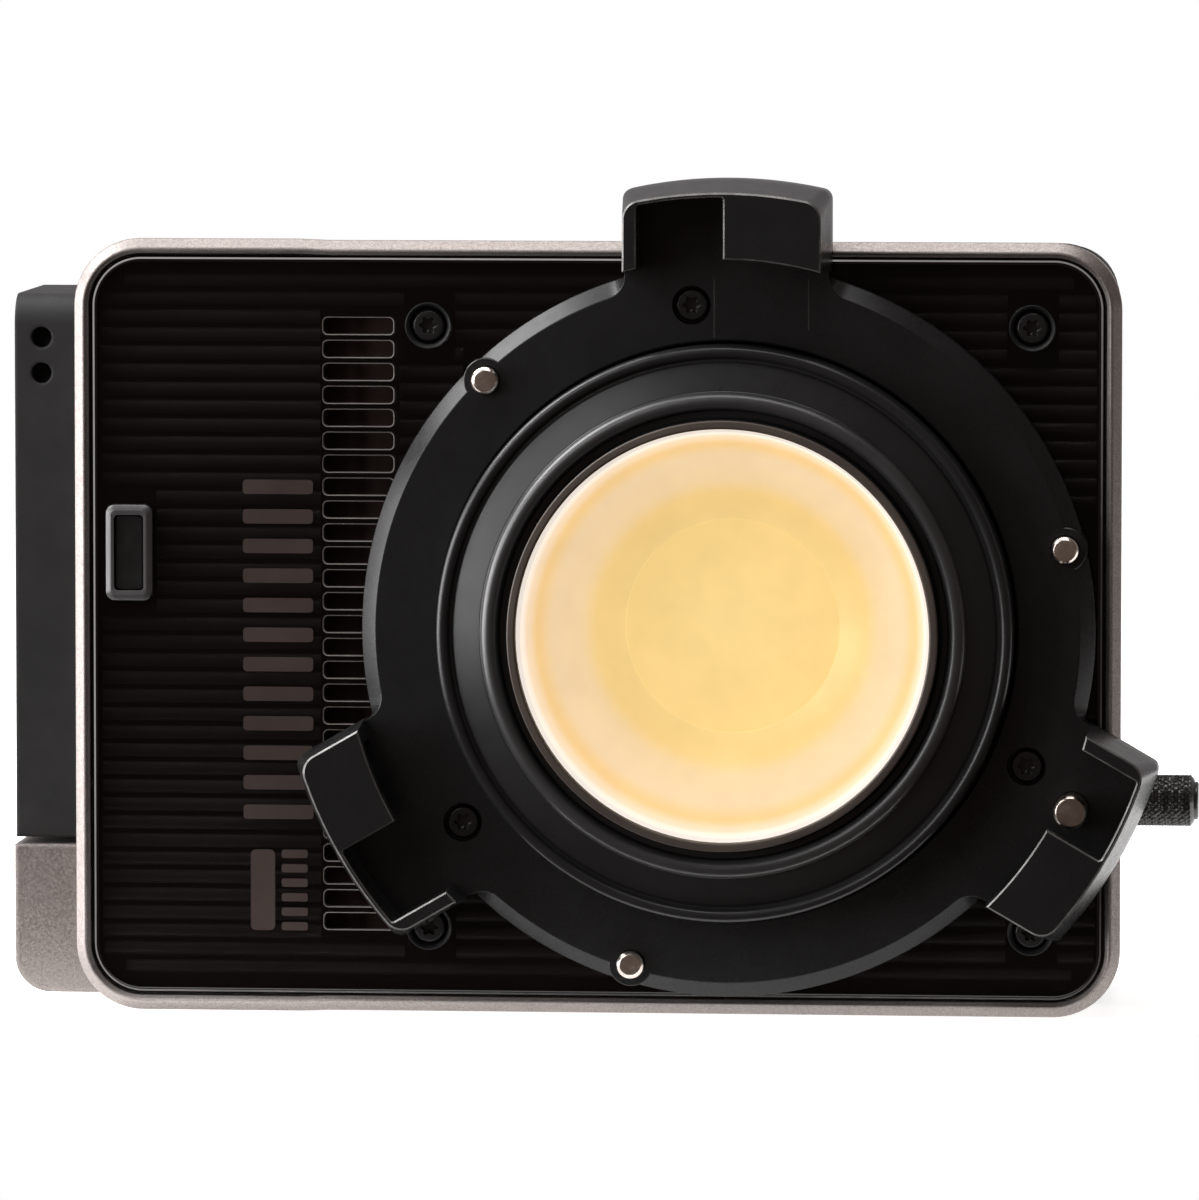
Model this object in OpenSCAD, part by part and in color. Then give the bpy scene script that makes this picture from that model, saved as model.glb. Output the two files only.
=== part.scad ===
// Compact box-bodied studio light head with a three-claw bayonet accessory mount.
// X runs to the right seen from the front, Z runs up, and the light shines along -Y.
// The origin is on the optical axis, on the mount plate's flat face.
// Every part is drawn lying in its front view (x right, y up, z towards the viewer)
// and is stood up by stood().

/* [Body] */
// left side of the body, from the optical axis
body_left = 110.0; // [90:0.5:130]
// right side of the body, from the optical axis
body_right = 65.3; // [62:0.1:80]
// half of the body's height
body_half_height = 64.8; // [60:0.1:75]
// corner radius of the body's outline
body_corner = 11.3; // [8:0.1:16]
// front edge of the frame, behind the mount plate's face
front_edge = 4.5; // [4:0.1:6]
// back wall's outer face, behind the mount plate's face
body_back = 62.0; // [58:0.5:80]
// how far the sides lean in, from front to back
side_lean = 3.0; // [2:0.1:5]
// seam between the front frame and the rear shell
seam_depth = 28.0; // [26:0.5:32]
// wall thickness of the rear shell
shell_wall = 2.2; // [1.6:0.1:3]

/* [Front panel] */
// thickness of the smoked panel
glass_thick = 2.0; // [1.5:0.1:3]
// distance from the body's side to the smoked panel's edge
glass_inset = 2.8; // [2.6:0.1:4]
// pitch of the horizontal ribs
rib_pitch = 3.04; // [2.5:0.01:4]
// number of air slots in the column
slot_count = 27; // [10:1:27]
// height of one air slot
slot_height = 3.05; // [2:0.05:3.2]
// length of one air slot
slot_length = 12.1; // [8:0.1:14]
// pitch of the air slots
slot_pitch = 3.84; // [3.5:0.01:4.2]
// half of the square that the four panel screws stand on
screw_square = 50.4; // [49:0.1:52]

/* [Accessory mount] */
// outer radius of the mount plate
plate_r = 61.2; // [60:0.1:62]
// radius where the plate's outer chamfer starts
plate_flat_r = 58.8; // [57:0.1:59.5]
// outer radius of the claws
claw_outer_r = 75.3; // [74.5:0.1:77]
// inner wall of the claws, which an accessory ring turns in
claw_inner_r = 72.6; // [72.3:0.1:73]
// inner radius of the hooks
hook_r = 62.4; // [61:0.1:64]
// height of the claws in front of the plate
claw_height = 12.0; // [10:0.5:14]
// thickness of the hooks
hook_thick = 3.0; // [2:0.1:4]
// travel of the locking pin
lock_travel = 6.0; // [5:0.5:7]
// travel of the three sprung pins
plunger_travel = 1.5; // [1:0.1:1.6]

/* [Light engine] */
// outer radius of the ring round the lens
bezel_r = 47.9; // [46:0.1:48]
// clear radius of the front glass
lens_r = 34.3; // [30:0.1:35]
// radius of the phosphor disc
phosphor_r = 17.5; // [12:0.5:17.5]
// number of cooling fins
fin_count = 29; // [15:1:35]
// number of fan blades
blade_count = 9; // [5:1:11]

/* [Controls] */
// radius of the two dials
dial_r = 9.5; // [8:0.5:11]
// radius of the three rear buttons
button_r = 4.2; // [3.5:0.1:5]
// travel of the rear buttons
button_travel = 0.6; // [0.3:0.1:1]
// travel of the front release button
release_travel = 1.5; // [1:0.1:2]

/* [Side dock] */
// outer face of the side dock, left of the optical axis
dock_left = 121.0; // [118:0.5:124]
// top of the black rail
rail_top = 55; // [50:0.5:58]
// bottom of the black rail
rail_bottom = 36.5; // [30:0.5:40]
// bottom of the metal block
block_bottom = 62.5; // [60:0.5:64]

/* [Hidden] */
$fn = 96;
eps = 0.01;

// body outline
x0 = -body_left;
x1 = body_right;
y1 = body_half_height;
band_start = front_edge + 1.75;
lean = side_lean / (body_back - band_start);
// layers behind the mount plate's face
glass_front = 5.6;
glass_back = glass_front + glass_thick;
rib_back = glass_back + 2.0;
ledge_back = rib_back + 2.0;
chassis_back = ledge_back + 3.0;
base_front = chassis_back + 2.4;
base_back = base_front + 3.0;
fin_back = 42.0;
fan_front = 43.5;
fan_back = 58.5;
wall_inside = body_back - 2.0;
board_front = 50.0;
board_back = 51.6;
plate_back = 5.2;
claw_back = 4.2;
neck_r = 56.6;
neck_hole = 57.0;
// mechanism positions
claw_angles = [0, 120, 240];
plate_screw_r = 54.6;
plate_screw_angle = 6.15;
plunger_r = 57.9;
plunger_angle = 44.0;
lock_x = 57.5;
lock_y = -29.1;
rod_depth = 17.0;
release_x = -100.7;
release_y = 12.2;
slot_x = -62.15;
slot_top = 51.8 - slot_height / 2;
post_x = [-98, 53];
post_y = 52.0;
dial_x = [-90, -64];
dial_y = -6.0;
button_x = [-92, -77, -62];
button_y = -28.0;
dock_front = 12.5;
dock_back = 52.0;
latch_depth = 34.0;
fan_x = 4.0;

// how far the outer wall has leaned in at a given depth
function lean_at(depth) = lean * (depth - band_start);

module stood() { rotate([90, 0, 0]) children(); }

// a flat outline made solid between two depths behind the plate's face
module layer(near, far) { translate([0, 0, -far]) linear_extrude(far - near) children(); }

module rod(x, y, near, far, r) { translate([x, y, -far]) cylinder(h = far - near, r = r); }

module block(xa, xb, ya, yb, near, far) {
  translate([xa, ya, -far]) cube([xb - xa, yb - ya, far - near]);
}

// a rectangle with round corners, from opposite corners
module rounded(xa, xb, ya, yb, r) {
  translate([xa + r, ya]) square([xb - xa - 2 * r, yb - ya]);
  translate([xa, ya + r]) square([xb - xa, yb - ya - 2 * r]);
  for (x = [xa + r, xb - r], y = [ya + r, yb - r])
    translate([x, y]) circle(r);
}

// the body's outline, moved in by d
module outline(d) { rounded(x0 + d, x1 - d, -y1 + d, y1 - d, body_corner - d); }

// a profile of [distance in from the side, depth] carried round the body's outline
module swept(points) {
  c = body_corner;
  for (side = [0, 1]) {
    mirror([side, 0, 0])
      translate([side == 0 ? x1 : -x0, y1 - c, 0])
        rotate([90, 0, 0])
          linear_extrude(2 * (y1 - c))
            polygon([for (p = points) [-p[0], -p[1]]]);
    mirror([0, side, 0])
      translate([x0 + c, y1, 0])
        rotate([90, 0, 90])
          linear_extrude(x1 - x0 - 2 * c)
            polygon([for (p = points) [-p[0], -p[1]]]);
  }
  for (k = [0:3])
    translate([k == 0 || k == 3 ? x1 - c : x0 + c, k < 2 ? y1 - c : c - y1, 0])
      rotate([0, 0, 90 * k])
        rotate_extrude(angle = 90)
          polygon([for (p = points) [c - p[0], -p[1]]]);
}

// the whole body as one mass, grown by gap, for cutting its neighbours back
module body_mass(gap) {
  swept([[-gap, band_start], [lean_at(body_back) - gap, body_back], [body_corner, body_back],
         [body_corner, band_start]]);
  block(x0 + body_corner - 1, x1 - body_corner + 1, 1 + body_corner - y1 - 2,
        y1 - body_corner + 1, band_start, body_back);
}

// a polygon of [radius, depth] turned round the optical axis
module turned(points) { rotate_extrude() polygon([for (p = points) [p[0], -p[1]]]); }

module at_angle(a) { rotate([0, 0, a]) children(); }

// round places for the three sprung pins, the three plate screws and the locking pin
module each_plunger() { for (k = claw_angles) at_angle(k + plunger_angle) children(); }
module each_plate_screw() { for (k = claw_angles) at_angle(k + plate_screw_angle) children(); }

module air_slots(near, far, grow = 0) {
  for (k = [0:slot_count - 1])
    translate([slot_x, slot_top - k * slot_pitch, 0])
      layer(near, far)
        rounded(-slot_length / 2 - grow, slot_length / 2 + grow, -slot_height / 2 - grow,
                slot_height / 2 + grow, 0.85);
}

// the shared cut-outs of the smoked panel and the ribbed panel
module panel_cuts(near, far) {
  cylinder_between(neck_hole, near, far);
  each_plunger() rod(0, plunger_r, near, far, 3.95);
  rod(lock_x, lock_y, near, far, 3.4);
}

module cylinder_between(r, near, far) { translate([0, 0, -far]) cylinder(h = far - near, r = r); }

// ---------------------------------------------------------------- body

module front_frame() {
  color([0.64, 0.60, 0.58]) stood() difference() {
    union() {
      swept([
        [0, band_start], [0.15, band_start - 0.75], [0.6, band_start - 1.3],
        [1.3, front_edge + 0.08], [1.6, front_edge], [1.9, front_edge],
        [2.5, front_edge + 0.9], [2.5, rib_back], [6.0, rib_back],
        [6.0, ledge_back], [4.2, ledge_back], [4.2, seam_depth - 2.5], [3.2, seam_depth - 2.5],
        [3.2, seam_depth], [lean_at(seam_depth), seam_depth]
      ]);
    }
    // way out for the lock's rod
    block(58, 70, lock_y - 2.6, lock_y + 2.6, rod_depth - 2.6, rod_depth + 2.6 + lock_travel);
    // room in the ledge for the sprung pins' bosses and the lock pin
    each_plunger() rod(0, plunger_r, rib_back - 1, ledge_back + 1, 3.9);
    rod(lock_x, lock_y, rib_back - 1, ledge_back + 1, 3.2);
  }
}

module rear_shell() {
  w = shell_wall;
  color([0.20, 0.20, 0.21]) stood() difference() {
    union() {
      swept([
        [lean_at(seam_depth + 0.25), seam_depth + 0.25],
        [lean_at(body_back - 1.6), body_back - 1.6],
        [lean_at(body_back - 1.6) + 0.5, body_back - 0.6], [lean_at(body_back) + 1.6, body_back],
        [body_corner - 1, body_back], [body_corner - 1, wall_inside],
        [side_lean + w, wall_inside], [lean_at(seam_depth) + w + 0.2, seam_depth + 0.25]
      ]);
      block(x0 + 10, x1 - 10, -y1 + 10, y1 - 10, wall_inside, body_back);
      // seats for the fan's four corners
      for (x = [-1, 1], y = [-1, 1])
        rod(fan_x + 35.75 * x, 35.75 * y, fan_back, wall_inside + eps, 3.0);
    }
    // fan opening
    cylinder_at(fan_x, 0, wall_inside - 3, body_back + 1, 38.6);
    for (x = [-1, 1], y = [-1, 1])
      rod(fan_x + 35.75 * x, 35.75 * y, fan_back - 1, body_back - 0.8, 1.6);
    // display, dials, buttons and inlets
    block(-100.2, -53.8, 13.8, 44.2, wall_inside - 1, body_back - 1.4);
    layer(wall_inside - 1, body_back + 1) rounded(-101, -53, 13, 45, 2);
    for (x = dial_x) cylinder_at(x, dial_y, wall_inside - 1, body_back + 1, 4.6);
    for (x = button_x) cylinder_at(x, button_y, wall_inside - 1, body_back + 1, button_r + 0.08);
    cylinder_at(-88, -43, wall_inside - 1, body_back + 1, 6.3);
    layer(wall_inside - 1, body_back + 1) rounded(-71.0, -61.0, -45.2, -40.8, 2.1);
    // rear screws
    for (x = post_x, y = [-post_y, post_y]) {
      rod(x, y, wall_inside - 1, body_back + 1, 1.7);
      rod(x, y, body_back - 1.2, body_back + 1, 3.1);
    }
    // side vents along the top and the bottom
    for (k = [0:11])
      block(-24 + 6 * k, -21.6 + 6 * k, 50, 70, 34, 56);
    for (k = [4:11])
      block(-24 + 6 * k, -21.6 + 6 * k, -70, -50, 34, 56);
    // dock screws, stand block and latch openings
    for (y = [-22, 36])
      translate([x0 - 5, y, -32.5]) rotate([0, 90, 0]) cylinder(h = 12, r = 1.3);
    block(-36.1, -7.9, -70, -55, 31.9, 50.1);
    block(x0 - 5, x0 + 10, release_y - 2.8, release_y + 2.8, latch_depth - 2.3, latch_depth + 2.3);
  }
}

module cylinder_at(x, y, near, far, r) { rod(x, y, near, far, r); }

module front_panel() {
  d = glass_inset;
  c = body_corner;
  color([0.10, 0.07, 0.06, 0.55]) stood() difference() {
    union() {
      swept([[d, glass_front + 0.5], [d + 0.5, glass_front], [c - 1, glass_front],
             [c - 1, glass_back], [d, glass_back]]);
      block(x0 + 10, x1 - 10, -y1 + 10, y1 - 10, glass_front, glass_back);
    }
    panel_cuts(0, glass_back + 1);
    air_slots(0, glass_back + 1);
    for (x = [-1, 1], y = [-1, 1])
      rod(screw_square * x, screw_square * y, 0, glass_back + 1, 3.9);
    layer(0, glass_back + 1)
      rounded(release_x - 4.0, release_x + 4.0, release_y - 8.1, release_y + 8.1, 1.6);
  }
}

module ribbed_panel() {
  d = glass_inset;
  rib_rows = 39;
  color([0.05, 0.05, 0.055]) stood() difference() {
    union() {
      layer(glass_back + 1.0, rib_back) outline(d);
      intersection() {
        layer(glass_back + 0.2, rib_back) rounded(x0 + 7, x1 - 7, -y1 + 7, y1 - 7, 4.5);
        for (k = [0:rib_rows - 1])
          translate([x0, (k - (rib_rows - 1) / 2) * rib_pitch - 0.9, -glass_back - 1.5])
            cube([x1 - x0, 1.8, 1.3]);
      }
      for (x = [-1, 1], y = [-1, 1])
        rod(screw_square * x, screw_square * y, glass_back + 0.1, rib_back, 3.8);
    }
    panel_cuts(0, rib_back + 1);
    air_slots(0, rib_back + 1);
    for (x = [-1, 1], y = [-1, 1])
      rod(screw_square * x, screw_square * y, 0, rib_back + 1, 1.6);
    layer(0, rib_back + 1)
      rounded(release_x - 2.9, release_x + 2.9, release_y - 6.7, release_y + 6.7, 0.9);
  }
}

module chassis() {
  color([0.30, 0.30, 0.31]) stood() difference() {
    union() {
      layer(ledge_back, chassis_back) outline(4.6);
      for (x = post_x, y = [-post_y, post_y])
        rod(x, y, chassis_back - 0.5, wall_inside, 3.4);
      for (x = [-40, 40], y = [-44, 44])
        rod(x, y, chassis_back - 0.5, base_front, 3.4);
      for (x = [-1, 1], y = [-1, 1])
        rod(screw_square * x, screw_square * y, chassis_back - 0.5, chassis_back + 4, 3.0);
    }
    cylinder_between(38, ledge_back - 1, chassis_back + 1);
    layer(ledge_back - 1, chassis_back + 1) rounded(-69.5, -54.9, -54, 54, 2);
    rod(lock_x - 0.4, lock_y, ledge_back - 1, chassis_back + 1, 3.4);
    for (x = post_x, y = [-post_y, post_y]) rod(x, y, wall_inside - 14, wall_inside + 1, 1.3);
    for (x = [-1, 1], y = [-1, 1])
      rod(screw_square * x, screw_square * y, ledge_back - 1, chassis_back + 5, 1.3);
    each_plate_screw() rod(0, plate_screw_r, ledge_back - 1, chassis_back + 1, 1.3);
    layer(ledge_back - 1, chassis_back + 1)
      rounded(release_x - 2.9, release_x + 2.9, release_y - 6.7, release_y + 6.7, 0.9);
  }
}

// a button-head screw with a six-lobed socket, head towards the viewer
module screw(top, tip, head_r = 2.75, shank_r = 1.25) {
  difference() {
    union() {
      rod(0, 0, top + 0.55, top + 1.7, head_r);
      translate([0, 0, -top - 0.55]) cylinder(h = 0.55, r1 = head_r, r2 = head_r - 0.9);
      rod(0, 0, top + 1.6, tip, shank_r);
    }
    rod(0, 0, top - 1, top + 1.2, 0.95);
    for (k = [0:5])
      at_angle(60 * k) rod(0.95, 0, top - 1, top + 1.2, 0.3);
  }
}

module panel_screws() {
  color([0.09, 0.09, 0.09]) stood()
    for (x = [-1, 1], y = [-1, 1])
      translate([screw_square * x, screw_square * y, 0]) screw(glass_front + 0.4, 17.5);
}

module shell_screws() {
  color([0.09, 0.09, 0.09]) stood()
    for (x = post_x, y = [-post_y, post_y])
      translate([x, y, -0.5 - body_back]) mirror([0, 0, 1]) screw(0, 13);
}

module rear_feet() {
  color([0.06, 0.06, 0.06]) stood() difference() {
    for (x = [-84, 28])
      block(x, x + 18, -y1, -y1 + 6, 46, 56);
    body_mass(0);
  }
}

module rear_grille() {
  color([0.07, 0.07, 0.07]) stood() translate([fan_x, 0, 0]) difference() {
    cylinder_between(38.3, wall_inside + 0.2, body_back - 0.2);
    for (ring = [0:5]) {
      inner = 7 + 5 * ring;
      difference() {
        cylinder_between(inner + 3.4, wall_inside - 1, body_back + 1);
        cylinder_between(inner, wall_inside - 2, body_back + 2);
        for (k = [0:5])
          at_angle(60 * k + 30 * (ring % 2))
            block(-0.9, 0.9, 0, 60, wall_inside - 2, body_back + 2);
      }
    }
  }
}

module stand_block() {
  color([0.70, 0.70, 0.71]) stood() difference() {
    union() {
      block(-36, -8, -y1 + 0.1, -55.0, 32, 50);
      block(-39, -5, -59.8, -55.0, 30, 52);
    }
    translate([-22, -70, -41]) rotate([-90, 0, 0]) cylinder(h = 13, r = 3.175);
  }
}

// ---------------------------------------------------------------- accessory mount

// one claw standing at the top, as a block turned round the optical axis
module claw_mass() {
  h = claw_height;
  intersection() {
    turned([[58, claw_back], [claw_outer_r, claw_back], [claw_outer_r, -1.5],
            [claw_outer_r - 1.9, -h + 0.4], [claw_outer_r - 2.3, -h], [hook_r, -h], [hook_r, 0],
            [58, 0]]);
    translate([0, 90, 0]) rotate([90, 0, 0])
      linear_extrude(40)
        polygon([[-17.3, -claw_back], [17.3, -claw_back], [17.3, 0], [16.4, h], [-16.4, h],
                 [-17.3, 0]]);
    translate([0, 0, -10])
      linear_extrude(30)
        polygon([[-17.4, 50], [17.4, 50], [17.4, 70.2], [16.6, 71.9], [15.2, 73.2], [12.6, 80],
                 [-12.6, 80], [-15.2, 73.2], [-16.6, 71.9], [-17.4, 70.2]]);
  }
}

// room under the hook, closed by the end stop and by the far web, with the open slot
// that an accessory's tab goes in by
module claw_pocket() {
  h = claw_height;
  under = h - hook_thick;
  intersection() {
    translate([0, 0, -20]) cylinder(h = 40, r = claw_inner_r);
    translate([0, 95, 0]) rotate([90, 0, 0])
      linear_extrude(50)
        polygon([[-14.1, 0], [14.1, 0], [14.1, under], [0.3, under], [0.3, h + 1],
                 [-14.1, h + 1]]);
  }
}

module mount_plate() {
  color([0.07, 0.07, 0.075]) stood() difference() {
    union() {
      turned([[bezel_r + 0.35, 0.4], [bezel_r + 0.75, 0], [plate_flat_r, 0],
              [plate_r, plate_r - plate_flat_r], [plate_r, plate_back], [neck_r, plate_back],
              [neck_r, ledge_back], [bezel_r + 0.35, ledge_back]]);
      each_plunger() rod(0, plunger_r, 0, ledge_back - 0.15, 3.7);
      for (k = claw_angles) at_angle(k) difference() {
        claw_mass();
        claw_pocket();
      }
    }
    each_plate_screw() {
      rod(0, plate_screw_r, -1, 2.4, 3.2);
      rod(0, plate_screw_r, -1, ledge_back + 1, 1.6);
    }
    each_plunger() {
      rod(0, plunger_r, -1, 6, 2.36);
      rod(0, plunger_r, 5, ledge_back + 1, 2.95);
    }
    rod(lock_x, lock_y, -1, plate_back + 1, 2.92);
  }
}

module mount_screws() {
  color([0.08, 0.08, 0.08]) stood()
    each_plate_screw() translate([0, plate_screw_r, 0]) screw(0.7, 17);
}

module plunger() {
  rod(0, 0, -1.6, 5.6, 2.3);
  translate([0, 0, 1.6]) cylinder(h = 0.5, r1 = 2.3, r2 = 1.8);
  rod(0, 0, 5.05, 5.85, 2.8);
}

module plunger_at(k) {
  color([0.75, 0.73, 0.71]) stood()
    at_angle(claw_angles[k] + plunger_angle) translate([0, plunger_r, 0]) plunger();
}

// a compression spring, drawn as its turns
module coils(near, far, r, wire, turns) {
  step = (far - near - 2 * wire) / (turns - 1);
  for (k = [0:turns - 1])
    translate([0, 0, -near - wire - k * step])
      rotate_extrude($fn = 48) translate([r, 0]) circle(wire, $fn = 24);
}

module plunger_spring_at(k) {
  color([0.70, 0.70, 0.70]) stood()
    at_angle(claw_angles[k] + plunger_angle)
      translate([0, plunger_r, 0]) coils(5.9, ledge_back - 0.05, 2.2, 0.3, 6);
}

module plunger_a() { plunger_at(0); }
module plunger_b() { plunger_at(1); }
module plunger_c() { plunger_at(2); }
module plunger_springs_a() { plunger_spring_at(0); }
module plunger_springs_b() { plunger_spring_at(1); }
module plunger_springs_c() { plunger_spring_at(2); }

module lock_pin() {
  color([0.72, 0.68, 0.64]) stood() translate([lock_x, lock_y, 0]) {
    rod(0, 0, -6.0, rod_depth - 2.0, 2.85);
    translate([0, 0, 6.0]) cylinder(h = 0.5, r1 = 2.85, r2 = 2.35);
  }
}

module lock_slide() {
  color([0.55, 0.55, 0.56]) stood() difference() {
    union() {
      block(52.6, 60.4, lock_y - 6, lock_y + 6, rod_depth - 2.0, rod_depth + 3.0);
      translate([60.38, lock_y, -rod_depth]) rotate([0, 90, 0]) cylinder(h = 9.62, r = 2.2);
    }
    rod(lock_x - 0.7, lock_y, rod_depth + 0.6, rod_depth + 4, 2.0);
  }
}

module lock_knob() {
  color([0.25, 0.25, 0.25]) stood() translate([66.9, lock_y, -rod_depth]) rotate([0, 90, 0])
    difference() {
      union() {
        cylinder(h = 0.7, r1 = 3.6, r2 = 4.3);
        translate([0, 0, 0.7]) cylinder(h = 8.9, r = 4.3);
        translate([0, 0, 9.6]) cylinder(h = 0.7, r1 = 4.3, r2 = 3.6);
        translate([0, 0, 10.3]) cylinder(h = 0.7, r = 3.2);
      }
      translate([0, 0, -1]) cylinder(h = 4.1, r = 2.2);
    }
}

module lock_bracket() {
  color([0.60, 0.60, 0.61]) stood() {
    block(49.6, 51.6, lock_y - 7, lock_y + 5, chassis_back, 36.0);
    block(49.6, 60.0, lock_y - 7, lock_y + 5, 34.0, 36.0);
    rod(lock_x - 0.7, lock_y, 28.2, 35.0, 1.2);
  }
}

module lock_spring() {
  color([0.70, 0.70, 0.70]) stood() translate([lock_x - 0.7, lock_y, 0])
    coils(rod_depth + 0.7, 33.9, 1.6, 0.28, 8);
}

// ---------------------------------------------------------------- light engine

module light_bezel() {
  r = bezel_r;
  g = lens_r;
  color([0.06, 0.06, 0.065]) stood()
    turned([[r, ledge_back], [r, -6.7], [r - 0.4, -7.1], [r - 2.0, -7.1], [r - 2.5, -6.6],
            [r - 2.8, -6.0], [g + 5.6, -8.0], [g + 5.3, -8.8], [g + 4.9, -9.1], [g + 4.4, -9.1],
            [g + 3.9, -8.7], [g + 3.4, -6.4], [g + 2.3, -6.4], [g + 2.1, -10.3],
            [g + 1.7, -10.7], [g + 0.4, -10.7], [g, -10.3], [g, -9.9], [g + 1.2, -9.9],
            [g + 1.2, -3.6], [r - 3.5, -3.6], [r - 2.3, -2.4], [r - 2.3, ledge_back]]);
}

module lens_glass() {
  color([0.95, 0.95, 0.93, 0.35]) stood() cylinder_between(lens_r + 1.1, -9.8, -8.4);
}

module lens_gasket() {
  color([0.10, 0.10, 0.10]) stood()
    turned([[lens_r + 0.1, -7.7], [lens_r + 1.1, -7.7], [lens_r + 1.1, -8.4],
            [lens_r + 0.1, -8.4]]);
}

// the reflecting cup's inside, as [radius, depth]
function cup(grow) = [
  [33.7 + grow, -7.6], [32.9 + grow, -4.0], [31.3 + grow, 0], [28.9 + grow, 4.0],
  [25.7 + grow, 8.0], [21.6 + grow, 11.4], [17.9 + grow, 13.4]
];

module reflector_cup() {
  a = cup(0);
  b = cup(0.9);
  n = len(a);
  color([0.86, 0.85, 0.82]) stood()
    turned(concat(a, [[20.5, 13.4]], [for (k = [n - 1:-1:1]) b[k]],
                  [[34.3, -6.9], [35.3, -6.9], [35.3, -7.6]]));
}

module cob_holder() {
  color([0.90, 0.89, 0.85]) stood() difference() {
    union() {
      cylinder_between(24, 13.4, 15.4);
      block(-26, 26, -4, 4, 13.6, 15.4);
    }
    cylinder_between(17.9, 12, 16);
    for (x = [-22, 22]) rod(x, 0, 12, 16, 1.3);
  }
}

module cob_board() {
  color([0.80, 0.80, 0.80]) stood() block(-24, 24, -24, 24, 15.4, base_front);
}

module cob_phosphor() {
  color([0.95, 0.80, 0.35]) stood() cylinder_between(phosphor_r, 14.6, 15.4);
}

module dust_filter() {
  color([0.12, 0.07, 0.06]) stood()
    layer(ledge_back + 0.4, ledge_back + 1.6) rounded(-69.2, -55.2, -53.7, 53.7, 1.6);
}

module heat_base() {
  color([0.80, 0.48, 0.32]) stood() block(-46, 46, -50, 50, base_front, base_back);
}

pipe_rows = [-41, -11, 11, 41];

// one bent heat pipe lying across the fins
module pipe_run(r) {
  near = base_back + 3.8;
  far = fin_back - 6.0;
  bend = (far - near) / 2;
  translate([-48, 0, -near]) rotate([0, 90, 0]) cylinder(h = 96, r = r);
  translate([-40, 0, -far]) rotate([0, 90, 0]) cylinder(h = 88, r = r);
  translate([48, 0, -near - bend]) rotate([90, 0, 0])
    rotate([0, 0, -90]) rotate_extrude(angle = 180) translate([bend, 0]) circle(r);
}

module heat_pipes() {
  color([0.76, 0.43, 0.28]) stood()
    for (y = pipe_rows) translate([0, y, 0]) pipe_run(2.9);
}

module heat_fins() {
  pitch = 92 / (fin_count - 1);
  near = base_back + 3.8;
  far = fin_back - 6.0;
  color([0.80, 0.81, 0.82]) stood() difference() {
    union() {
      block(-46.4, 46.4, -50, 50, base_back, base_back + 0.8);
      for (k = [0:fin_count - 1])
        block(-46.4 + k * pitch, -45.6 + k * pitch, -50, 50, base_back + 0.7, fin_back);
    }
    for (y = pipe_rows, d = [near, far])
      translate([-60, y, -d]) rotate([0, 90, 0]) cylinder(h = 120, r = 2.95);
    for (x = [-1, 1], y = [-1, 1])
      rod(fan_x + 35.75 * x, 35.75 * y, fin_back - 0.6, fin_back + 1, 3.3);
  }
}

module fan_frame() {
  color([0.08, 0.08, 0.08]) stood() translate([fan_x, 0, 0]) {
    difference() {
      layer(fan_front, fan_back) rounded(-40, 40, -40, 40, 3);
      cylinder_between(38.4, fan_front - 1, fan_back + 1);
      for (x = [-1, 1], y = [-1, 1]) rod(35.75 * x, 35.75 * y, fan_front - 1, fan_back + 1, 2.0);
    }
    difference() {
      union() {
        cylinder_between(16, fan_back - 1.6, fan_back);
        for (k = [0:3])
          at_angle(45 + 90 * k) block(-1.6, 1.6, 14, 38.6, fan_back - 1.6, fan_back);
      }
    }
    cylinder_between(1.45, fan_front + 2.5, fan_back - 1);
  }
}

module fan_rotor() {
  color([0.12, 0.12, 0.12]) stood() translate([fan_x, 0, 0]) {
    difference() {
      cylinder_between(17, fan_front + 1.0, fan_back - 2.2);
      cylinder_between(1.5, fan_front + 2.0, fan_back);
      difference() {
        cylinder_between(15.6, fan_front + 3.0, fan_back);
        cylinder_between(4, fan_front, fan_back + 1);
      }
    }
    for (k = [0:blade_count - 1])
      at_angle(k * 360 / blade_count)
        intersection() {
          translate([0, 26.5, -(fan_front + fan_back) / 2 + 0.6])
            rotate([0, 38, 0]) cube([14.5, 21.4, 1.3], center = true);
          cylinder_between(37.4, fan_front + 0.8, fan_back - 2.4);
        }
  }
}

module fan_screws() {
  color([0.60, 0.60, 0.60]) stood()
    for (x = [-1, 1], y = [-1, 1])
      translate([fan_x + 35.75 * x, 35.75 * y, 0]) screw(fan_front - 1.7, body_back - 1.0, 2.9, 1.5);
}

// ---------------------------------------------------------------- electronics

module driver_board() {
  color([0.05, 0.22, 0.12]) stood() difference() {
    block(-104, -71, -46, 46, 19, 20.6);
    for (x = [-101, -74], y = [-43, 43]) rod(x, y, 18, 22, 1.5);
  }
}

module driver_parts() {
  color([0.16, 0.16, 0.17]) stood() {
    // choke, transformer and smoothing capacitors, all standing on the board's back
    for (y = [-34, -20]) rod(-94, y, 20.6, 33.0, 5.5);
    block(-84, -73, -40, -26, 20.6, 33.0);
    block(-100, -80, -8, 6, 20.6, 32.0);
    for (y = [24, 36]) rod(-82, y, 20.6, 34.0, 4.5);
    block(-100, -92, 20, 40, 20.6, 27.0);
    block(-78, -73, -14, 8, 20.6, 26.0);
  }
}

module control_board() {
  color([0.06, 0.15, 0.26]) stood() difference() {
    block(-103.5, -50, -47.5, 47.5, board_front, board_back);
    for (x = [-101, -52.5], y = [-45, 45]) rod(x, y, 49, 53, 1.2);
  }
}

module display_module() {
  color([0.10, 0.11, 0.12]) stood() {
    block(-98, -56, 15.5, 42.5, board_back, wall_inside - 0.4);
    block(-97, -57, 16.5, 41.5, wall_inside - 0.5, wall_inside);
  }
}

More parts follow.
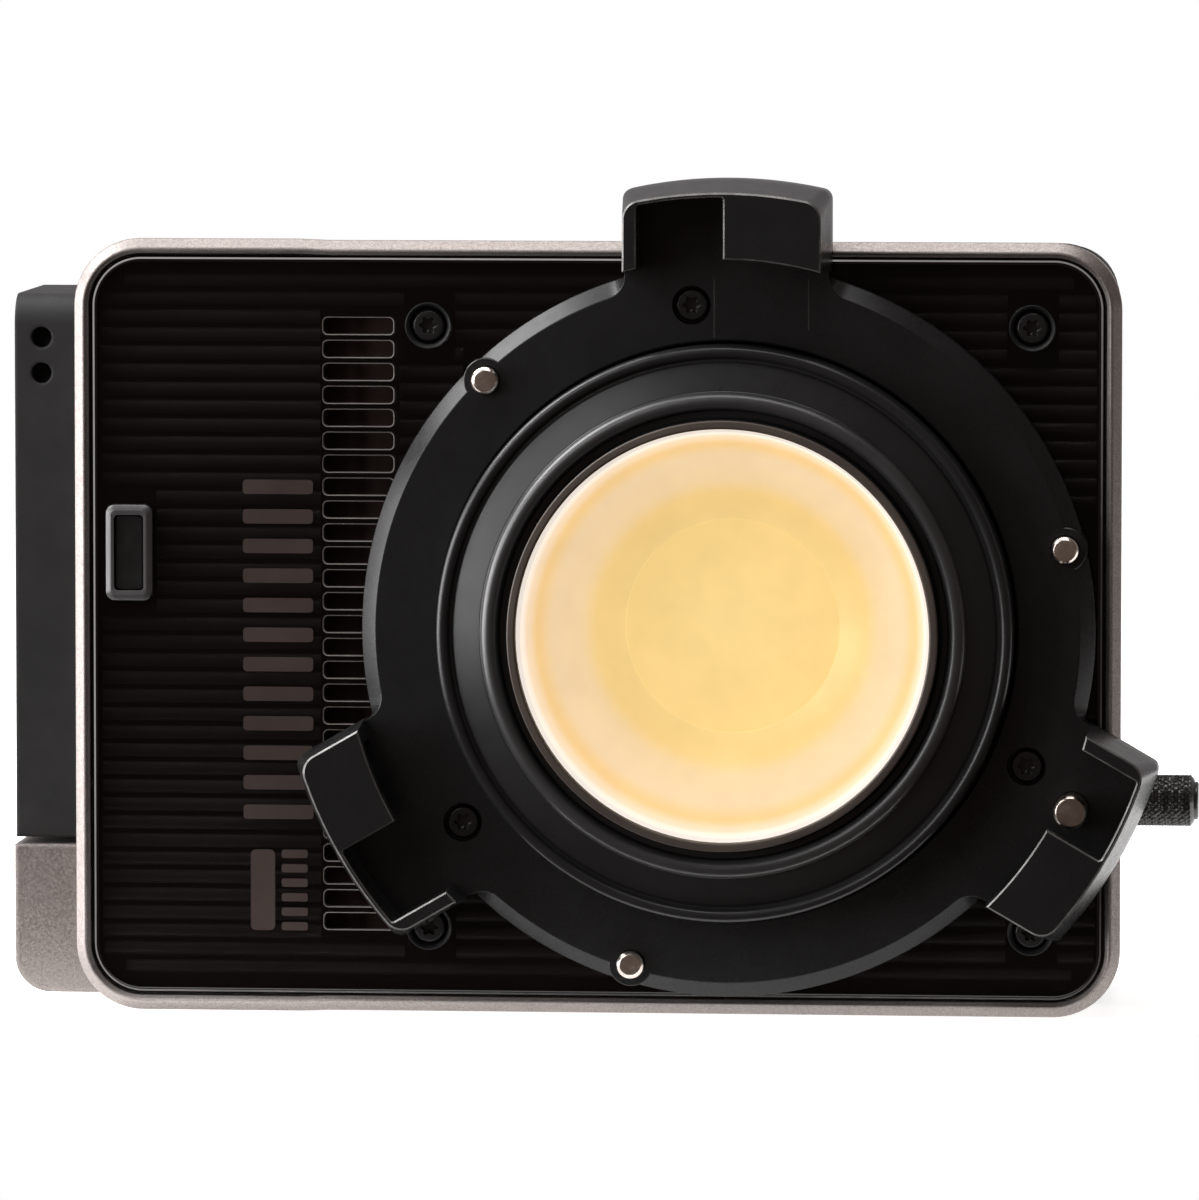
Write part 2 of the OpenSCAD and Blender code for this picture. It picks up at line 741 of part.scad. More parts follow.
module display_window() {
  color([0.04, 0.05, 0.06, 0.6]) stood()
    layer(body_back - 1.6, body_back - 0.1) rounded(-100.8, -53.2, 13.2, 44.8, 1.8);
}

module dial_encoders() {
  color([0.45, 0.46, 0.47]) stood()
    for (x = dial_x) difference() {
      union() {
        block(x - 6, x + 6, dial_y - 6, dial_y + 6, board_back, 57.0);
        rod(x, dial_y, 56.9, wall_inside + 0.2, 3.6);
      }
      rod(x, dial_y, 53.0, wall_inside + 1, 2.55);
    }
}

// a dial with a milled edge on a stem that runs in its encoder
module dial(x) {
  color([0.14, 0.14, 0.15]) stood() translate([x, dial_y, 0]) {
    difference() {
      union() {
        cylinder_between(dial_r, body_back + 0.4, body_back + 4.6);
        translate([0, 0, -body_back - 5.2]) cylinder(h = 0.6, r1 = dial_r - 0.6, r2 = dial_r);
      }
      for (k = [0:35])
        at_angle(10 * k) rod(dial_r + 0.25, 0, body_back, body_back + 6, 0.5);
      cylinder_between(6.5, body_back + 4.8, body_back + 6);
      rod(0, 8.0, body_back + 4.9, body_back + 6, 0.5);
    }
    cylinder_between(2.5, 54.0, body_back + 1);
  }
}

module dial_left() { dial(dial_x[0]); }
module dial_right() { dial(dial_x[1]); }

module button_switches() {
  color([0.35, 0.35, 0.36]) stood()
    for (x = button_x)
      block(x - 3, x + 3, button_y - 3, button_y + 3, board_back, 55.0);
}

module rear_button(x) {
  stood() translate([x, button_y, 0]) {
    cylinder_between(button_r, wall_inside - 1.5, body_back + 0.5);
    cylinder_between(button_r + 1.0, wall_inside - 1.6, wall_inside - 0.05);
    cylinder_between(1.5, 55.65, wall_inside - 1);
  }
}

module power_button() { color([0.50, 0.16, 0.12]) rear_button(button_x[0]); }
module mode_button() { color([0.16, 0.16, 0.17]) rear_button(button_x[1]); }
module effect_button() { color([0.16, 0.16, 0.17]) rear_button(button_x[2]); }

module dc_inlet() {
  color([0.09, 0.09, 0.09]) stood() translate([-88, -43, 0]) difference() {
    union() {
      cylinder_between(6.2, 54, body_back + 0.2);
      cylinder_between(8.0, 52.5, wall_inside);
    }
    cylinder_between(3.6, 53.5, body_back + 1);
    difference() {
      cylinder_between(2.0, 50, 50.1);
    }
  }
  color([0.09, 0.09, 0.09]) stood() rod(-88, -43, 53.4, 60.5, 1.2);
}

module usb_port() {
  color([0.75, 0.75, 0.76]) stood() difference() {
    layer(54.2, body_back - 0.3) rounded(-70.8, -61.2, -45.0, -41.0, 2.0 - eps);
    layer(55.0, body_back + 1) rounded(-70.3, -61.7, -44.5, -41.5, 1.5 - eps);
  }
  color([0.75, 0.75, 0.76]) stood() block(-69.3, -62.7, -43.3, -42.7, 54.8, 60.6);
}

// ---------------------------------------------------------------- side dock

module dock_side(yb, yt) {
  difference() {
    block(-dock_left, -106, yb, yt, dock_front, dock_back);
    body_mass(0.1);
  }
}

module dock_rail() {
  color([0.07, 0.07, 0.075]) stood() difference() {
    intersection() {
      dock_side(-rail_bottom, rail_top);
      // rounded top, seen from the side
      translate([-dock_left - 1, 0, 0]) rotate([0, 90, 0]) linear_extrude(30)
        rounded(dock_front, dock_back, -90, rail_top, 5);
    }
    // recess that the tongue of a grip or a battery presses into
    block(-dock_left - 1, -dock_left + 3.0, -rail_bottom + 8, rail_top - 6, 24, 41);
    for (y = [47.8, 41.8]) rod(-116.5, y, dock_front - 1, dock_front + 4, 1.75);
    // way through for the latch
    block(-dock_left - 1, -100, release_y - 2.6, release_y + 2.6, latch_depth - 2.1,
          latch_depth + 2.1);
    for (y = [-22, 36]) {
      translate([-dock_left - 1, y, -32.5]) rotate([0, 90, 0]) cylinder(h = 20, r = 1.6);
      translate([-dock_left - 1, y, -32.5]) rotate([0, 90, 0]) cylinder(h = 6.2, r = 3.0);
    }
    for (y = [-14, -10, -6, -2])
      translate([-dock_left + 2, y, -32.5]) rotate([0, 90, 0]) cylinder(h = 3.0, r = 1.2);
  }
}

module dock_block() {
  b = -block_bottom;
  color([0.62, 0.58, 0.56]) stood() difference() {
    layer(dock_front - 2, dock_back) {
      translate([-dock_left, b + 6]) square([24, block_bottom - rail_bottom - 7.1]);
      translate([-dock_left + 6, b]) square([18, 7]);
      translate([-dock_left + 6, b + 6]) circle(6);
    }
    body_mass(0.1);
  }
}

module dock_contacts() {
  color([0.85, 0.68, 0.30]) stood()
    for (y = [-14, -10, -6, -2])
      translate([-dock_left + 2.6, y, -32.5]) rotate([0, 90, 0]) cylinder(h = 2.3, r = 1.15);
}

module dock_screws() {
  color([0.55, 0.55, 0.55]) stood()
    for (y = [-22, 36])
      translate([-dock_left + 3.4, y, -32.5]) rotate([0, -90, 0]) screw(0, 10.5, 2.75, 1.25);
}

module dock_latch() {
  color([0.60, 0.60, 0.61]) stood() {
    block(-120.2, -101.5, release_y - 2.4, release_y + 2.4, latch_depth - 1.9, latch_depth + 1.9);
  }
}

module latch_spring() {
  color([0.70, 0.70, 0.70]) stood()
    translate([-101.4, release_y, -latch_depth]) rotate([0, -90, 0])
      coils(0.05, 6.0, 1.4, 0.22, 6);
}

module button_surround() {
  x = release_x;
  y = release_y;
  color([0.14, 0.14, 0.145]) stood() difference() {
    union() {
      layer(glass_front - 1.0, glass_back + 0.2) rounded(x - 3.9, x + 3.9, y - 8, y + 8, 1.5);
      layer(glass_front - 1.5, glass_front) rounded(x - 3.4, x + 3.4, y - 7.5, y + 7.5, 1.1);
    }
    layer(0, glass_back + 1) rounded(x - 2.45, x + 2.45, y - 6.3, y + 6.3, 0.6);
  }
}

module release_button() {
  x = release_x;
  y = release_y;
  color([0.10, 0.10, 0.10]) stood() {
    layer(glass_front - 0.9, chassis_back + 0.5)
      rounded(x - 2.37, x + 2.37, y - 6.2, y + 6.2, 0.5);
    // collar that stops it behind the chassis
    layer(chassis_back + 0.1, chassis_back + 1.6)
      rounded(x - 3.9, x + 3.9, y - 7.6, y + 7.6, 1.0);
  }
}

module release_spring() {
  color([0.70, 0.70, 0.70]) stood() translate([release_x, release_y, 0])
    coils(chassis_back + 1.65, 18.95, 1.6, 0.22, 4);
}

front_frame();
rear_shell();
front_panel();
ribbed_panel();
chassis();
panel_screws();
shell_screws();
rear_feet();
rear_grille();
stand_block();
mount_plate();
mount_screws();
light_bezel();
lens_glass();
lens_gasket();
reflector_cup();
cob_holder();
cob_board();
cob_phosphor();
dust_filter();
heat_base();
heat_fins();
heat_pipes();
fan_frame();
fan_rotor();
fan_screws();
driver_board();
driver_parts();
control_board();
display_module();
display_window();
dial_encoders();
dial_left();
dial_right();
button_switches();
power_button();
mode_button();
effect_button();
dc_inlet();
usb_port();
dock_rail();
dock_block();
dock_contacts();
dock_screws();
dock_latch();
latch_spring();
button_surround();
release_button();
release_spring();
lock_pin();
lock_slide();
lock_knob();
lock_bracket();
lock_spring();
plunger_a();
plunger_b();
plunger_c();
plunger_springs_a();
plunger_springs_b();
plunger_springs_c();
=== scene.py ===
"""Box-bodied studio spotlight head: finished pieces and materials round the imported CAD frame.

Shapes are written in front-view millimetres (x right, y up, depth back from the mount
plate's face) and turned into the frame's metres by place().
"""
import math

import bmesh
import bpy
from mathutils import Matrix, Vector


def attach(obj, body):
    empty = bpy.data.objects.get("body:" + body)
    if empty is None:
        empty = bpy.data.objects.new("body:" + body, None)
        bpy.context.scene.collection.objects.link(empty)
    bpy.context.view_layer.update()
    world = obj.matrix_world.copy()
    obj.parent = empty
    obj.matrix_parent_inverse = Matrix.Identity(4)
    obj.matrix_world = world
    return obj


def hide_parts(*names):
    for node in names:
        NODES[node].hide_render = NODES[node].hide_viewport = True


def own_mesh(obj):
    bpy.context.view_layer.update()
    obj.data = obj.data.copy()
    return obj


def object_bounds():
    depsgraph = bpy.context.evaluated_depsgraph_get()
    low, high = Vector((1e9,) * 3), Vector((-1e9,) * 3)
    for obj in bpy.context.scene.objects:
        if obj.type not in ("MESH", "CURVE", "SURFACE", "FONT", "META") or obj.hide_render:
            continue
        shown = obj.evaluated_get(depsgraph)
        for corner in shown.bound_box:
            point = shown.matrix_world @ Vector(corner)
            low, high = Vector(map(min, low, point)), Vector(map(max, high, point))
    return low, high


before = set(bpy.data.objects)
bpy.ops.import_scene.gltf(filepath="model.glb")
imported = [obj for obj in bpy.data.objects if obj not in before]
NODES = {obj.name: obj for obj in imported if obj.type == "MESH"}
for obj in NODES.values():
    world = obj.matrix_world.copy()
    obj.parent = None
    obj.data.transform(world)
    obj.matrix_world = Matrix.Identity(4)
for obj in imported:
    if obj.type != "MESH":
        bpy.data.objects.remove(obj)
CAD_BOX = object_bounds()
MM = 0.001
TAU = 2 * math.pi

# ------------------------------------------------ sizes, as in the CAD

LEFT, RIGHT, HALF_H, CORNER = -110.0, 65.3, 64.8, 11.3
BAND, BACK = 6.25, 62.0
LEAN = 3.0 / (BACK - BAND)
GLASS_FRONT, GLASS_BACK, RIB_BACK = 5.6, 7.6, 9.6
LEDGE_BACK, SEAM = 11.6, 28.0
PLATE_R, FLAT_R, BEZEL_R, LENS_R = 61.2, 58.8, 47.9, 34.3
CLAW_R, CLAW_WALL, HOOK_R, CLAW_H = 75.3, 72.6, 62.4, 12.0
CLAWS = (0, 120, 240)
PLUNGER_R, PLUNGER_A = 57.9, 44.0
PLATE_SCREW_R, PLATE_SCREW_A = 54.6, 6.15
LOCK = (57.5, -29.1)
SCREW_SQ = 50.4
BUTTON = (-100.7, 12.2)
SLOT_X, SLOT_L, SLOT_H, SLOT_PITCH, SLOT_N = -62.15, 12.1, 3.05, 3.84, 27
SLOT_TOP = 51.8 - SLOT_H / 2
RIB_PITCH, RIB_N = 3.04, 39
HEAD_R, SHANK_R = 2.75, 1.2
KNOB_AXIS_DEPTH = 17.0
FLOOR_HALF_WIDTH, FLOOR_FRONT, FLOOR_BACK = 0.5, -0.013, 1.8


def lean(depth):
    return LEAN * (depth - BAND)


def place(x, y, depth):
    return Vector((x, depth, y)) * MM


def turn(x, y, degrees):
    a = math.radians(degrees)
    return x * math.cos(a) - y * math.sin(a), x * math.sin(a) + y * math.cos(a)


PIN_SPOTS = [turn(0, PLUNGER_R, c + PLUNGER_A) for c in CLAWS]
PLATE_SCREW_SPOTS = [turn(0, PLATE_SCREW_R, c + PLATE_SCREW_A) for c in CLAWS]
PANEL_SCREW_SPOTS = [(sx * SCREW_SQ, sy * SCREW_SQ) for sx in (-1, 1) for sy in (-1, 1)]


def add_object(name, data):
    obj = bpy.data.objects.new(name, data)
    bpy.context.scene.collection.objects.link(obj)
    return obj


# ------------------------------------------------ node materials

class Shade:
    """A Principled material with helpers for procedural detail in object space."""

    def __init__(self, name, **sockets):
        self.mat = bpy.data.materials.new(name)
        self.mat.use_nodes = True
        self.tree = self.mat.node_tree
        self.bsdf = self.tree.nodes["Principled BSDF"]
        self.normal = None
        self.coords = self.node("ShaderNodeTexCoord").outputs["Object"]
        for key, value in sockets.items():
            self.set(key.replace("_", " "), value)

    def node(self, kind, **props):
        n = self.tree.nodes.new(kind)
        for key, value in props.items():
            setattr(n, key, value)
        return n

    def link(self, a, b):
        self.tree.links.new(a, b)

    def set(self, socket, value):
        s = self.bsdf.inputs[socket]
        if hasattr(s.default_value, "__len__") and len(value) == 3:
            value = (*value, 1.0)
        s.default_value = value

    def pattern(self, kind, scale, detail=4.0, stretch=None):
        """The grey output of a noise or cell pattern."""
        vec = self.coords
        if stretch:
            m = self.node("ShaderNodeMapping")
            m.inputs["Scale"].default_value = stretch
            self.link(vec, m.inputs["Vector"])
            vec = m.outputs["Vector"]
        if kind == "cells":
            t = self.node("ShaderNodeTexVoronoi")
            t.inputs["Scale"].default_value = scale
            self.link(vec, t.inputs["Vector"])
            bw = self.node("ShaderNodeRGBToBW")
            self.link(t.outputs["Color"], bw.inputs[0])
            return bw.outputs[0]
        t = self.node("ShaderNodeTexNoise")
        t.inputs["Scale"].default_value = scale
        t.inputs["Detail"].default_value = detail
        t.inputs["Roughness"].default_value = 0.6
        self.link(vec, t.inputs["Vector"])
        return t.outputs["Fac"]

    def spread(self, source, low, high, lo_in=0.3, hi_in=0.7):
        r = self.node("ShaderNodeMapRange")
        r.inputs["From Min"].default_value = lo_in
        r.inputs["From Max"].default_value = hi_in
        r.inputs["To Min"].default_value = low
        r.inputs["To Max"].default_value = high
        self.link(source, r.inputs["Value"])
        return r.outputs["Result"]

    def colour_between(self, source, a, b, lo_in=0.3, hi_in=0.7):
        mix = self.node("ShaderNodeMix", data_type="RGBA")
        mix.inputs[6].default_value = (*a, 1.0)
        mix.inputs[7].default_value = (*b, 1.0)
        self.link(self.spread(source, 0.0, 1.0, lo_in, hi_in), mix.inputs[0])
        self.link(mix.outputs[2], self.bsdf.inputs["Base Color"])
        return mix.outputs[2]

    def roughness(self, source, low, high, lo_in=0.3, hi_in=0.7):
        self.link(self.spread(source, low, high, lo_in, hi_in), self.bsdf.inputs["Roughness"])

    def bump(self, source, strength, height_mm):
        b = self.node("ShaderNodeBump")
        b.inputs["Strength"].default_value = strength
        b.inputs["Distance"].default_value = height_mm * MM
        self.link(source, b.inputs["Height"])
        if self.normal:
            self.link(self.normal, b.inputs["Normal"])
        self.normal = b.outputs["Normal"]
        self.link(self.normal, self.bsdf.inputs["Normal"])

    def vector(self, operation, value):
        """The object-space position combined with a fixed vector."""
        n = self.node("ShaderNodeVectorMath", operation=operation)
        n.inputs[1].default_value = value
        self.link(self.coords, n.inputs[0])
        return n

    def times(self, a, b):
        n = self.node("ShaderNodeMath", operation="MULTIPLY")
        self.link(a, n.inputs[0])
        if isinstance(b, float):
            n.inputs[1].default_value = b
        else:
            self.link(b, n.inputs[1])
        return n.outputs[0]

    def axis_distance(self, centre):
        """Distance from a line along depth through a point, in metres."""
        shift = self.vector("SUBTRACT", centre)
        flat = self.node("ShaderNodeVectorMath", operation="MULTIPLY")
        flat.inputs[1].default_value = (1.0, 0.0, 1.0)
        self.link(shift.outputs[0], flat.inputs[0])
        size = self.node("ShaderNodeVectorMath", operation="LENGTH")
        self.link(flat.outputs[0], size.inputs[0])
        return size.outputs["Value"]

    def soft_edges(self, radius_mm):
        """Rounds the look of sharp CAD edges."""
        b = self.node("ShaderNodeBevel", samples=4)
        b.inputs["Radius"].default_value = radius_mm * MM
        self.normal = b.outputs["Normal"]
        self.link(self.normal, self.bsdf.inputs["Normal"])


def plastic(name, a, b, rough=(0.38, 0.5), grain=2600, depth=0.012, edges=0.0, spec=0.35):
    s = Shade(name)
    s.set("Specular IOR Level", spec)
    if edges:
        s.soft_edges(edges)
    s.colour_between(s.pattern("noise", 60, 5), a, b)
    s.roughness(s.pattern("noise", 340, 6), *rough)
    s.bump(s.pattern("noise", grain, 3), 0.5, depth)
    return s.mat


def metal(name, a, b, rough=(0.25, 0.38), grain=900, depth=0.004, edges=0.0, stretch=None):
    s = Shade(name, Metallic=1.0)
    if edges:
        s.soft_edges(edges)
    s.colour_between(s.pattern("noise", 90, 5), a, b)
    s.roughness(s.pattern("noise", 420, 6, stretch), *rough)
    s.bump(s.pattern("noise", grain, 4, stretch), 0.4, depth)
    return s.mat


def flake_paint(name, edges=0.0):
    """Warm grey paint with a fine metallic flake under a thin coat."""
    s = Shade(name, Metallic=0.82)
    s.set("Coat Weight", 0.12)
    s.set("Coat Roughness", 0.22)
    if edges:
        s.soft_edges(edges)
    flake = s.pattern("cells", 5200)
    s.colour_between(flake, (0.27, 0.240, 0.228), (0.41, 0.368, 0.350), 0.15, 0.85)
    s.roughness(s.pattern("cells", 4100), 0.40, 0.60, 0.2, 0.8)
    s.bump(s.pattern("noise", 3000, 2), 0.35, 0.008)
    return s.mat


def turned_metal(name, a, b, centre):
    """Metal faced on a lathe: fine rings round a centre."""
    rings_per_m = 2600
    s = Shade(name, Metallic=1.0)
    wave = s.node("ShaderNodeMath", operation="SINE")
    s.link(s.times(s.axis_distance(centre), rings_per_m * TAU), wave.inputs[0])
    s.colour_between(s.pattern("noise", 500, 5), a, b)
    s.roughness(s.pattern("noise", 700, 5), 0.16, 0.3)
    s.bump(wave.outputs[0], 0.25, 0.004)
    return s.mat


def coated_glass():
    rough, tint, dusty = 0.01, (0.985, 0.98, 0.965), (0.9259, 0.9212, 0.9071)
    s = Shade("lens_coated", Roughness=rough, IOR=1.33)
    s.set("Transmission Weight", 1.0)
    s.colour_between(s.pattern("noise", 150, 6), tint, dusty)
    s.roughness(s.pattern("noise", 60, 4), rough, rough + 0.03)
    return s.mat


M = {
    "shell": flake_paint("shell_flake"),
    "shell_cad": flake_paint("shell_flake_block", 0.9),
    "rear": plastic("rear_shell_texture", (0.020, 0.020, 0.021), (0.032, 0.031, 0.031),
                    (0.42, 0.58), 1500, 0.05, 0.6),
    # painted light and shade: the rib crowns take a lighter copy of the plastic, the base between
    # them a near-black copy for the shade in the gaps
    "ribbed": plastic("ribbed_panel_crowns_painted_lighter", (0.022, 0.0195, 0.019), (0.058, 0.047, 0.043),
                      (0.40, 0.55), 1500, 0.012, 0.0, 0.9),
    "gap": plastic("ribbed_panel_painted_gap_shade", (0.0016, 0.0014, 0.0014), (0.0036, 0.0027, 0.0024),
                   (0.45, 0.60), 1800, 0.010, 0.0, 0.2),
    "cast": plastic("mount_plate_satin", (0.0115, 0.0115, 0.012), (0.0175, 0.0175, 0.018),
                    (0.24, 0.31), 3200, 0.003, 0.0, 0.34),
    "bezel": plastic("bezel_satin", (0.0135, 0.0135, 0.0145), (0.0195, 0.0195, 0.0205),
                     (0.27, 0.33), 3600, 0.003, 0.0, 0.52),
    # painted light: the lip is the black bezel in a brown, lighter copy, for the emitter's warm
    # light on it
    "lip": plastic("bezel_lip_painted_warm_light", (0.070, 0.056, 0.048), (0.105, 0.084, 0.071),
                   (0.30, 0.40), 2400, 0.005),
    # painted sheen: the bead is the bezel's black plastic in a lighter, glossier copy
    "bead": plastic("bezel_bead_painted_sheen", (0.026, 0.026, 0.028), (0.038, 0.038, 0.040),
                    (0.32, 0.38), 3600, 0.003, 0.0, 1.0),
    "rim": plastic("button_rim_grey", (0.055, 0.054, 0.056), (0.085, 0.084, 0.087),
                   (0.30, 0.38), 2600, 0.006, 0.0, 0.9),
    "knurl": plastic("knob_knurled_black", (0.016, 0.016, 0.0165), (0.036, 0.036, 0.037),
                     (0.24, 0.34), 1800, 0.006, 0.0, 1.0),
    "screw": plastic("screw_black_oxide", (0.006, 0.006, 0.0065), (0.013, 0.013, 0.0135),
                     (0.24, 0.34), 1800, 0.006, 0.0, 0.6),
    "rubber": plastic("rail_soft_black", (0.014, 0.014, 0.0145), (0.026, 0.025, 0.025),
                      (0.50, 0.66), 2300, 0.03, 0.8, 0.35),
    "black": plastic("moulded_black", (0.012, 0.012, 0.013), (0.022, 0.022, 0.023),
                     (0.36, 0.5), 2200, 0.015, 0.35),
    "pad": plastic("button_pad_black", (0.006, 0.006, 0.006), (0.012, 0.012, 0.012),
                   (0.30, 0.44), 2600, 0.02),
    "print": plastic("panel_print_bronze", (0.044, 0.029, 0.025), (0.062, 0.043, 0.037),
                     (0.42, 0.55), 2600, 0.003),
    "spring": metal("spring_wire", (0.42, 0.41, 0.40), (0.62, 0.61, 0.60), (0.2, 0.34)),
    "steel": metal("plated_steel", (0.50, 0.48, 0.46), (0.68, 0.66, 0.63), (0.22, 0.36),
                   900, 0.004, 0.25),
    "fins": metal("fin_aluminium", (0.62, 0.63, 0.64), (0.78, 0.79, 0.80), (0.26, 0.42),
                  700, 0.01, 0.0, (1, 1, 14)),
    "copper": metal("bare_copper", (0.70, 0.33, 0.20), (0.86, 0.48, 0.32), (0.24, 0.4),
                    800, 0.006, 0.3),
    "alloy": metal("cast_alloy", (0.34, 0.34, 0.345), (0.5, 0.5, 0.505), (0.4, 0.56),
                   1300, 0.03, 0.4),
    "gold": metal("contact_gold", (0.78, 0.55, 0.20), (0.92, 0.70, 0.32), (0.18, 0.3),
                  900, 0.003, 0.15),
    "red": plastic("power_button_red", (0.20, 0.018, 0.012), (0.29, 0.030, 0.020),
                   (0.34, 0.46), 2400, 0.012, 0.4),
    "green": plastic("board_green", (0.006, 0.060, 0.026), (0.012, 0.095, 0.042), (0.22, 0.34),
                     700, 0.01, 0.1),
    "blue": plastic("board_blue", (0.006, 0.024, 0.075), (0.012, 0.040, 0.115), (0.22, 0.34),
                    700, 0.01, 0.1),
    "display": plastic("display_black_glass", (0.004, 0.005, 0.006), (0.007, 0.008, 0.010),
                       (0.05, 0.09), 300, 0.001, 0.25, 0.5),
    "edge": plastic("panel_edge_polished", (0.004, 0.004, 0.004), (0.007, 0.006, 0.006),
                    (0.07, 0.12), 500, 0.001, 0.0, 0.75),
    # painted highlight: a light grey rim stands in for the light caught by the polished slot edges
    "slot_edge_highlight": plastic("cut_edge_painted_highlight", (0.16, 0.145, 0.135), (0.24, 0.22, 0.205),
                       (0.42, 0.55), 2600, 0.01, 0.0, 0.5),
    "filter": plastic("filter_foam", (0.040, 0.024, 0.020), (0.090, 0.054, 0.045), (0.7, 0.9),
                      1100, 0.12, 0.0, 0.2),
    "lens": coated_glass(),
}


# emission by radius in mm: the warm phosphor's own glow, then painted reflection of it on the bowl
# out to the pale rim
PHOSPHOR_GLOW_AND_PAINTED_BOWL = [(0.0, (1.0, 0.725, 0.30)), (16.0, (0.985, 0.70, 0.28)), (22.0, (0.972, 0.672, 0.262)),
        (25.5, (0.95, 0.70, 0.41)), (29.0, (0.93, 0.70, 0.44)), (31.4, (0.95, 0.64, 0.30)),
        (32.8, (0.97, 0.76, 0.55)), (33.4, (1.0, 0.90, 0.82)), (36.0, (1.0, 0.95, 0.90))]
GLOW_REACH = 36.0


def glow_and_painted_light(name, cells, patch, tint, **sockets):
    """Emission by radius: the phosphor's own glow, and painted reflection of it on the bowl and
    holder; a painted highlight makes it a little brighter towards lower right.
    """
    s = Shade(name, **sockets)
    near = s.node("ShaderNodeMath", operation="DIVIDE")
    near.inputs[1].default_value = GLOW_REACH * MM
    s.link(s.axis_distance((0, 0, 0)), near.inputs[0])
    ramp = s.node("ShaderNodeValToRGB")
    ramp.color_ramp.interpolation = "EASE"
    stops = ramp.color_ramp.elements
    while len(stops) < len(PHOSPHOR_GLOW_AND_PAINTED_BOWL):
        stops.new(0.5)
    for stop, (radius, colour) in zip(stops, PHOSPHOR_GLOW_AND_PAINTED_BOWL):
        stop.position = radius / GLOW_REACH
        stop.color = (*colour, 1.0)
    s.link(near.outputs[0], ramp.inputs[0])
    # painted highlight: emission grows towards the lower right, where the lamps light the bowl's
    # wall
    slope = s.vector("DOT_PRODUCT", (0.75, 0.0, -0.66)).outputs["Value"]
    painted_lift = s.spread(slope, 0.90, 1.12, -0.030, 0.034)
    mottle = s.spread(s.pattern("noise", patch, 2), 0.975, 1.02)
    s.link(ramp.outputs["Color"], s.bsdf.inputs["Emission Color"])
    s.link(s.times(painted_lift, mottle), s.bsdf.inputs["Emission Strength"])
    s.colour_between(s.pattern("noise", 130, 5), *tint)
    s.bump(s.pattern("cells", cells), 0.12, 0.03)
    return s.mat


def worn_edge():
    # lighter grey metal for broken edges and mould lines: partly wear, partly a painted highlight
    # along the edges
    s = Shade("mount_plate_worn_edge", Metallic=0.35)
    s.colour_between(s.pattern("noise", 260, 6), (0.065, 0.064, 0.062), (0.19, 0.184, 0.178))
    s.roughness(s.pattern("noise", 700, 5), 0.26, 0.42)
    s.bump(s.pattern("noise", 1500, 4), 0.4, 0.006)
    return s.mat


def painted_edge_highlight_line():
    """The polished rim of the smoked sheet, its highlight painted: light grey, with emission that
    brightens along its upper left edges.
    """
    s = Shade("panel_edge_painted_highlight")
    s.colour_between(s.pattern("noise", 300, 5), (0.30, 0.29, 0.285), (0.52, 0.505, 0.495))
    s.roughness(s.pattern("noise", 900, 4), 0.20, 0.32)
    s.bump(s.pattern("noise", 1400, 3), 0.3, 0.003)
    # painted highlight: emission strength rises towards the top and the left
    along = s.vector("DOT_PRODUCT", (-2.8, 0.0, 4.0)).outputs["Value"]
    s.set("Emission Color", (1.0, 0.97, 0.95, 1.0))
    s.link(s.spread(along, 0.02, 0.52, -0.12, 0.25), s.bsdf.inputs["Emission Strength"])
    return s.mat


def smoked_panel():
    """Dark polished sheet that lets part of the light through to the ribs behind."""
    s = Shade("smoked_panel_sheet")
    s.colour_between(s.pattern("noise", 50, 5), (0.0030, 0.0022, 0.0020),
                     (0.0060, 0.0036, 0.0030))
    s.roughness(s.pattern("noise", 160, 6), 0.012, 0.045)
    s.set("Specular IOR Level", 0.34)
    s.link(s.spread(s.pattern("noise", 24, 4), 0.44, 0.52), s.bsdf.inputs["Alpha"])
    s.bump(s.pattern("noise", 900, 3), 0.15, 0.00009)
    return s.mat


M["worn"] = worn_edge()
M["polish"] = painted_edge_highlight_line()
M["panel"] = smoked_panel()
SILVER_TINT = (0.09, 0.075, 0.055), (0.12, 0.10, 0.075)
PHOSPHOR_TINT = (0.10, 0.066, 0.018), (0.13, 0.085, 0.026)
# the reflector's and holder's emission is painted reflection of the phosphor's light; only the
# phosphor really glows
M["reflector"] = glow_and_painted_light("reflector_painted_glow", 420, 60, SILVER_TINT, Metallic=0.9, Roughness=0.4)
M["phosphor"] = glow_and_painted_light("phosphor_yellow", 900, 90, PHOSPHOR_TINT, Roughness=0.6,
                        Specular_IOR_Level=0.1)
M["holder"] = glow_and_painted_light("holder_painted_glow", 900, 90, SILVER_TINT, Roughness=0.5)


# ------------------------------------------------ mesh building

def piece(name, verts, faces, mats, body="head", stands_for=(), slot=None, sharp=32.0,
          face_mats=None, weld=0.0004):
    """A mesh object from front-view points in millimetres."""
    mesh = raw_mesh(name, verts, faces)
    if face_mats:
        mesh.polygons.foreach_set("material_index", face_mats)
    return finish_mesh(name, mesh, mats, body, stands_for, sharp, weld)


def finish_mesh(name, mesh, mats, body="head", stands_for=(), sharp=32.0,
                weld=0.0004, face_mats=None):
    bm = bmesh.new()
    bm.from_mesh(mesh)
    if weld:
        bmesh.ops.remove_doubles(bm, verts=bm.verts, dist=weld * MM)
    bmesh.ops.recalc_face_normals(bm, faces=bm.faces)
    bm.to_mesh(mesh)
    bm.free()
    for m in mats:
        mesh.materials.append(m)
    if face_mats:
        mesh.polygons.foreach_set("material_index", face_mats)
    mesh.polygons.foreach_set("use_smooth", [True] * len(mesh.polygons))
    mesh.set_sharp_from_angle(angle=math.radians(sharp))
    obj = add_object(name, mesh)
    if body:
        even = obj.modifiers.new("even_normals", "WEIGHTED_NORMAL")
        even.keep_sharp = True
        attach(obj, body)
        if stands_for:
            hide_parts(*stands_for)
    return obj


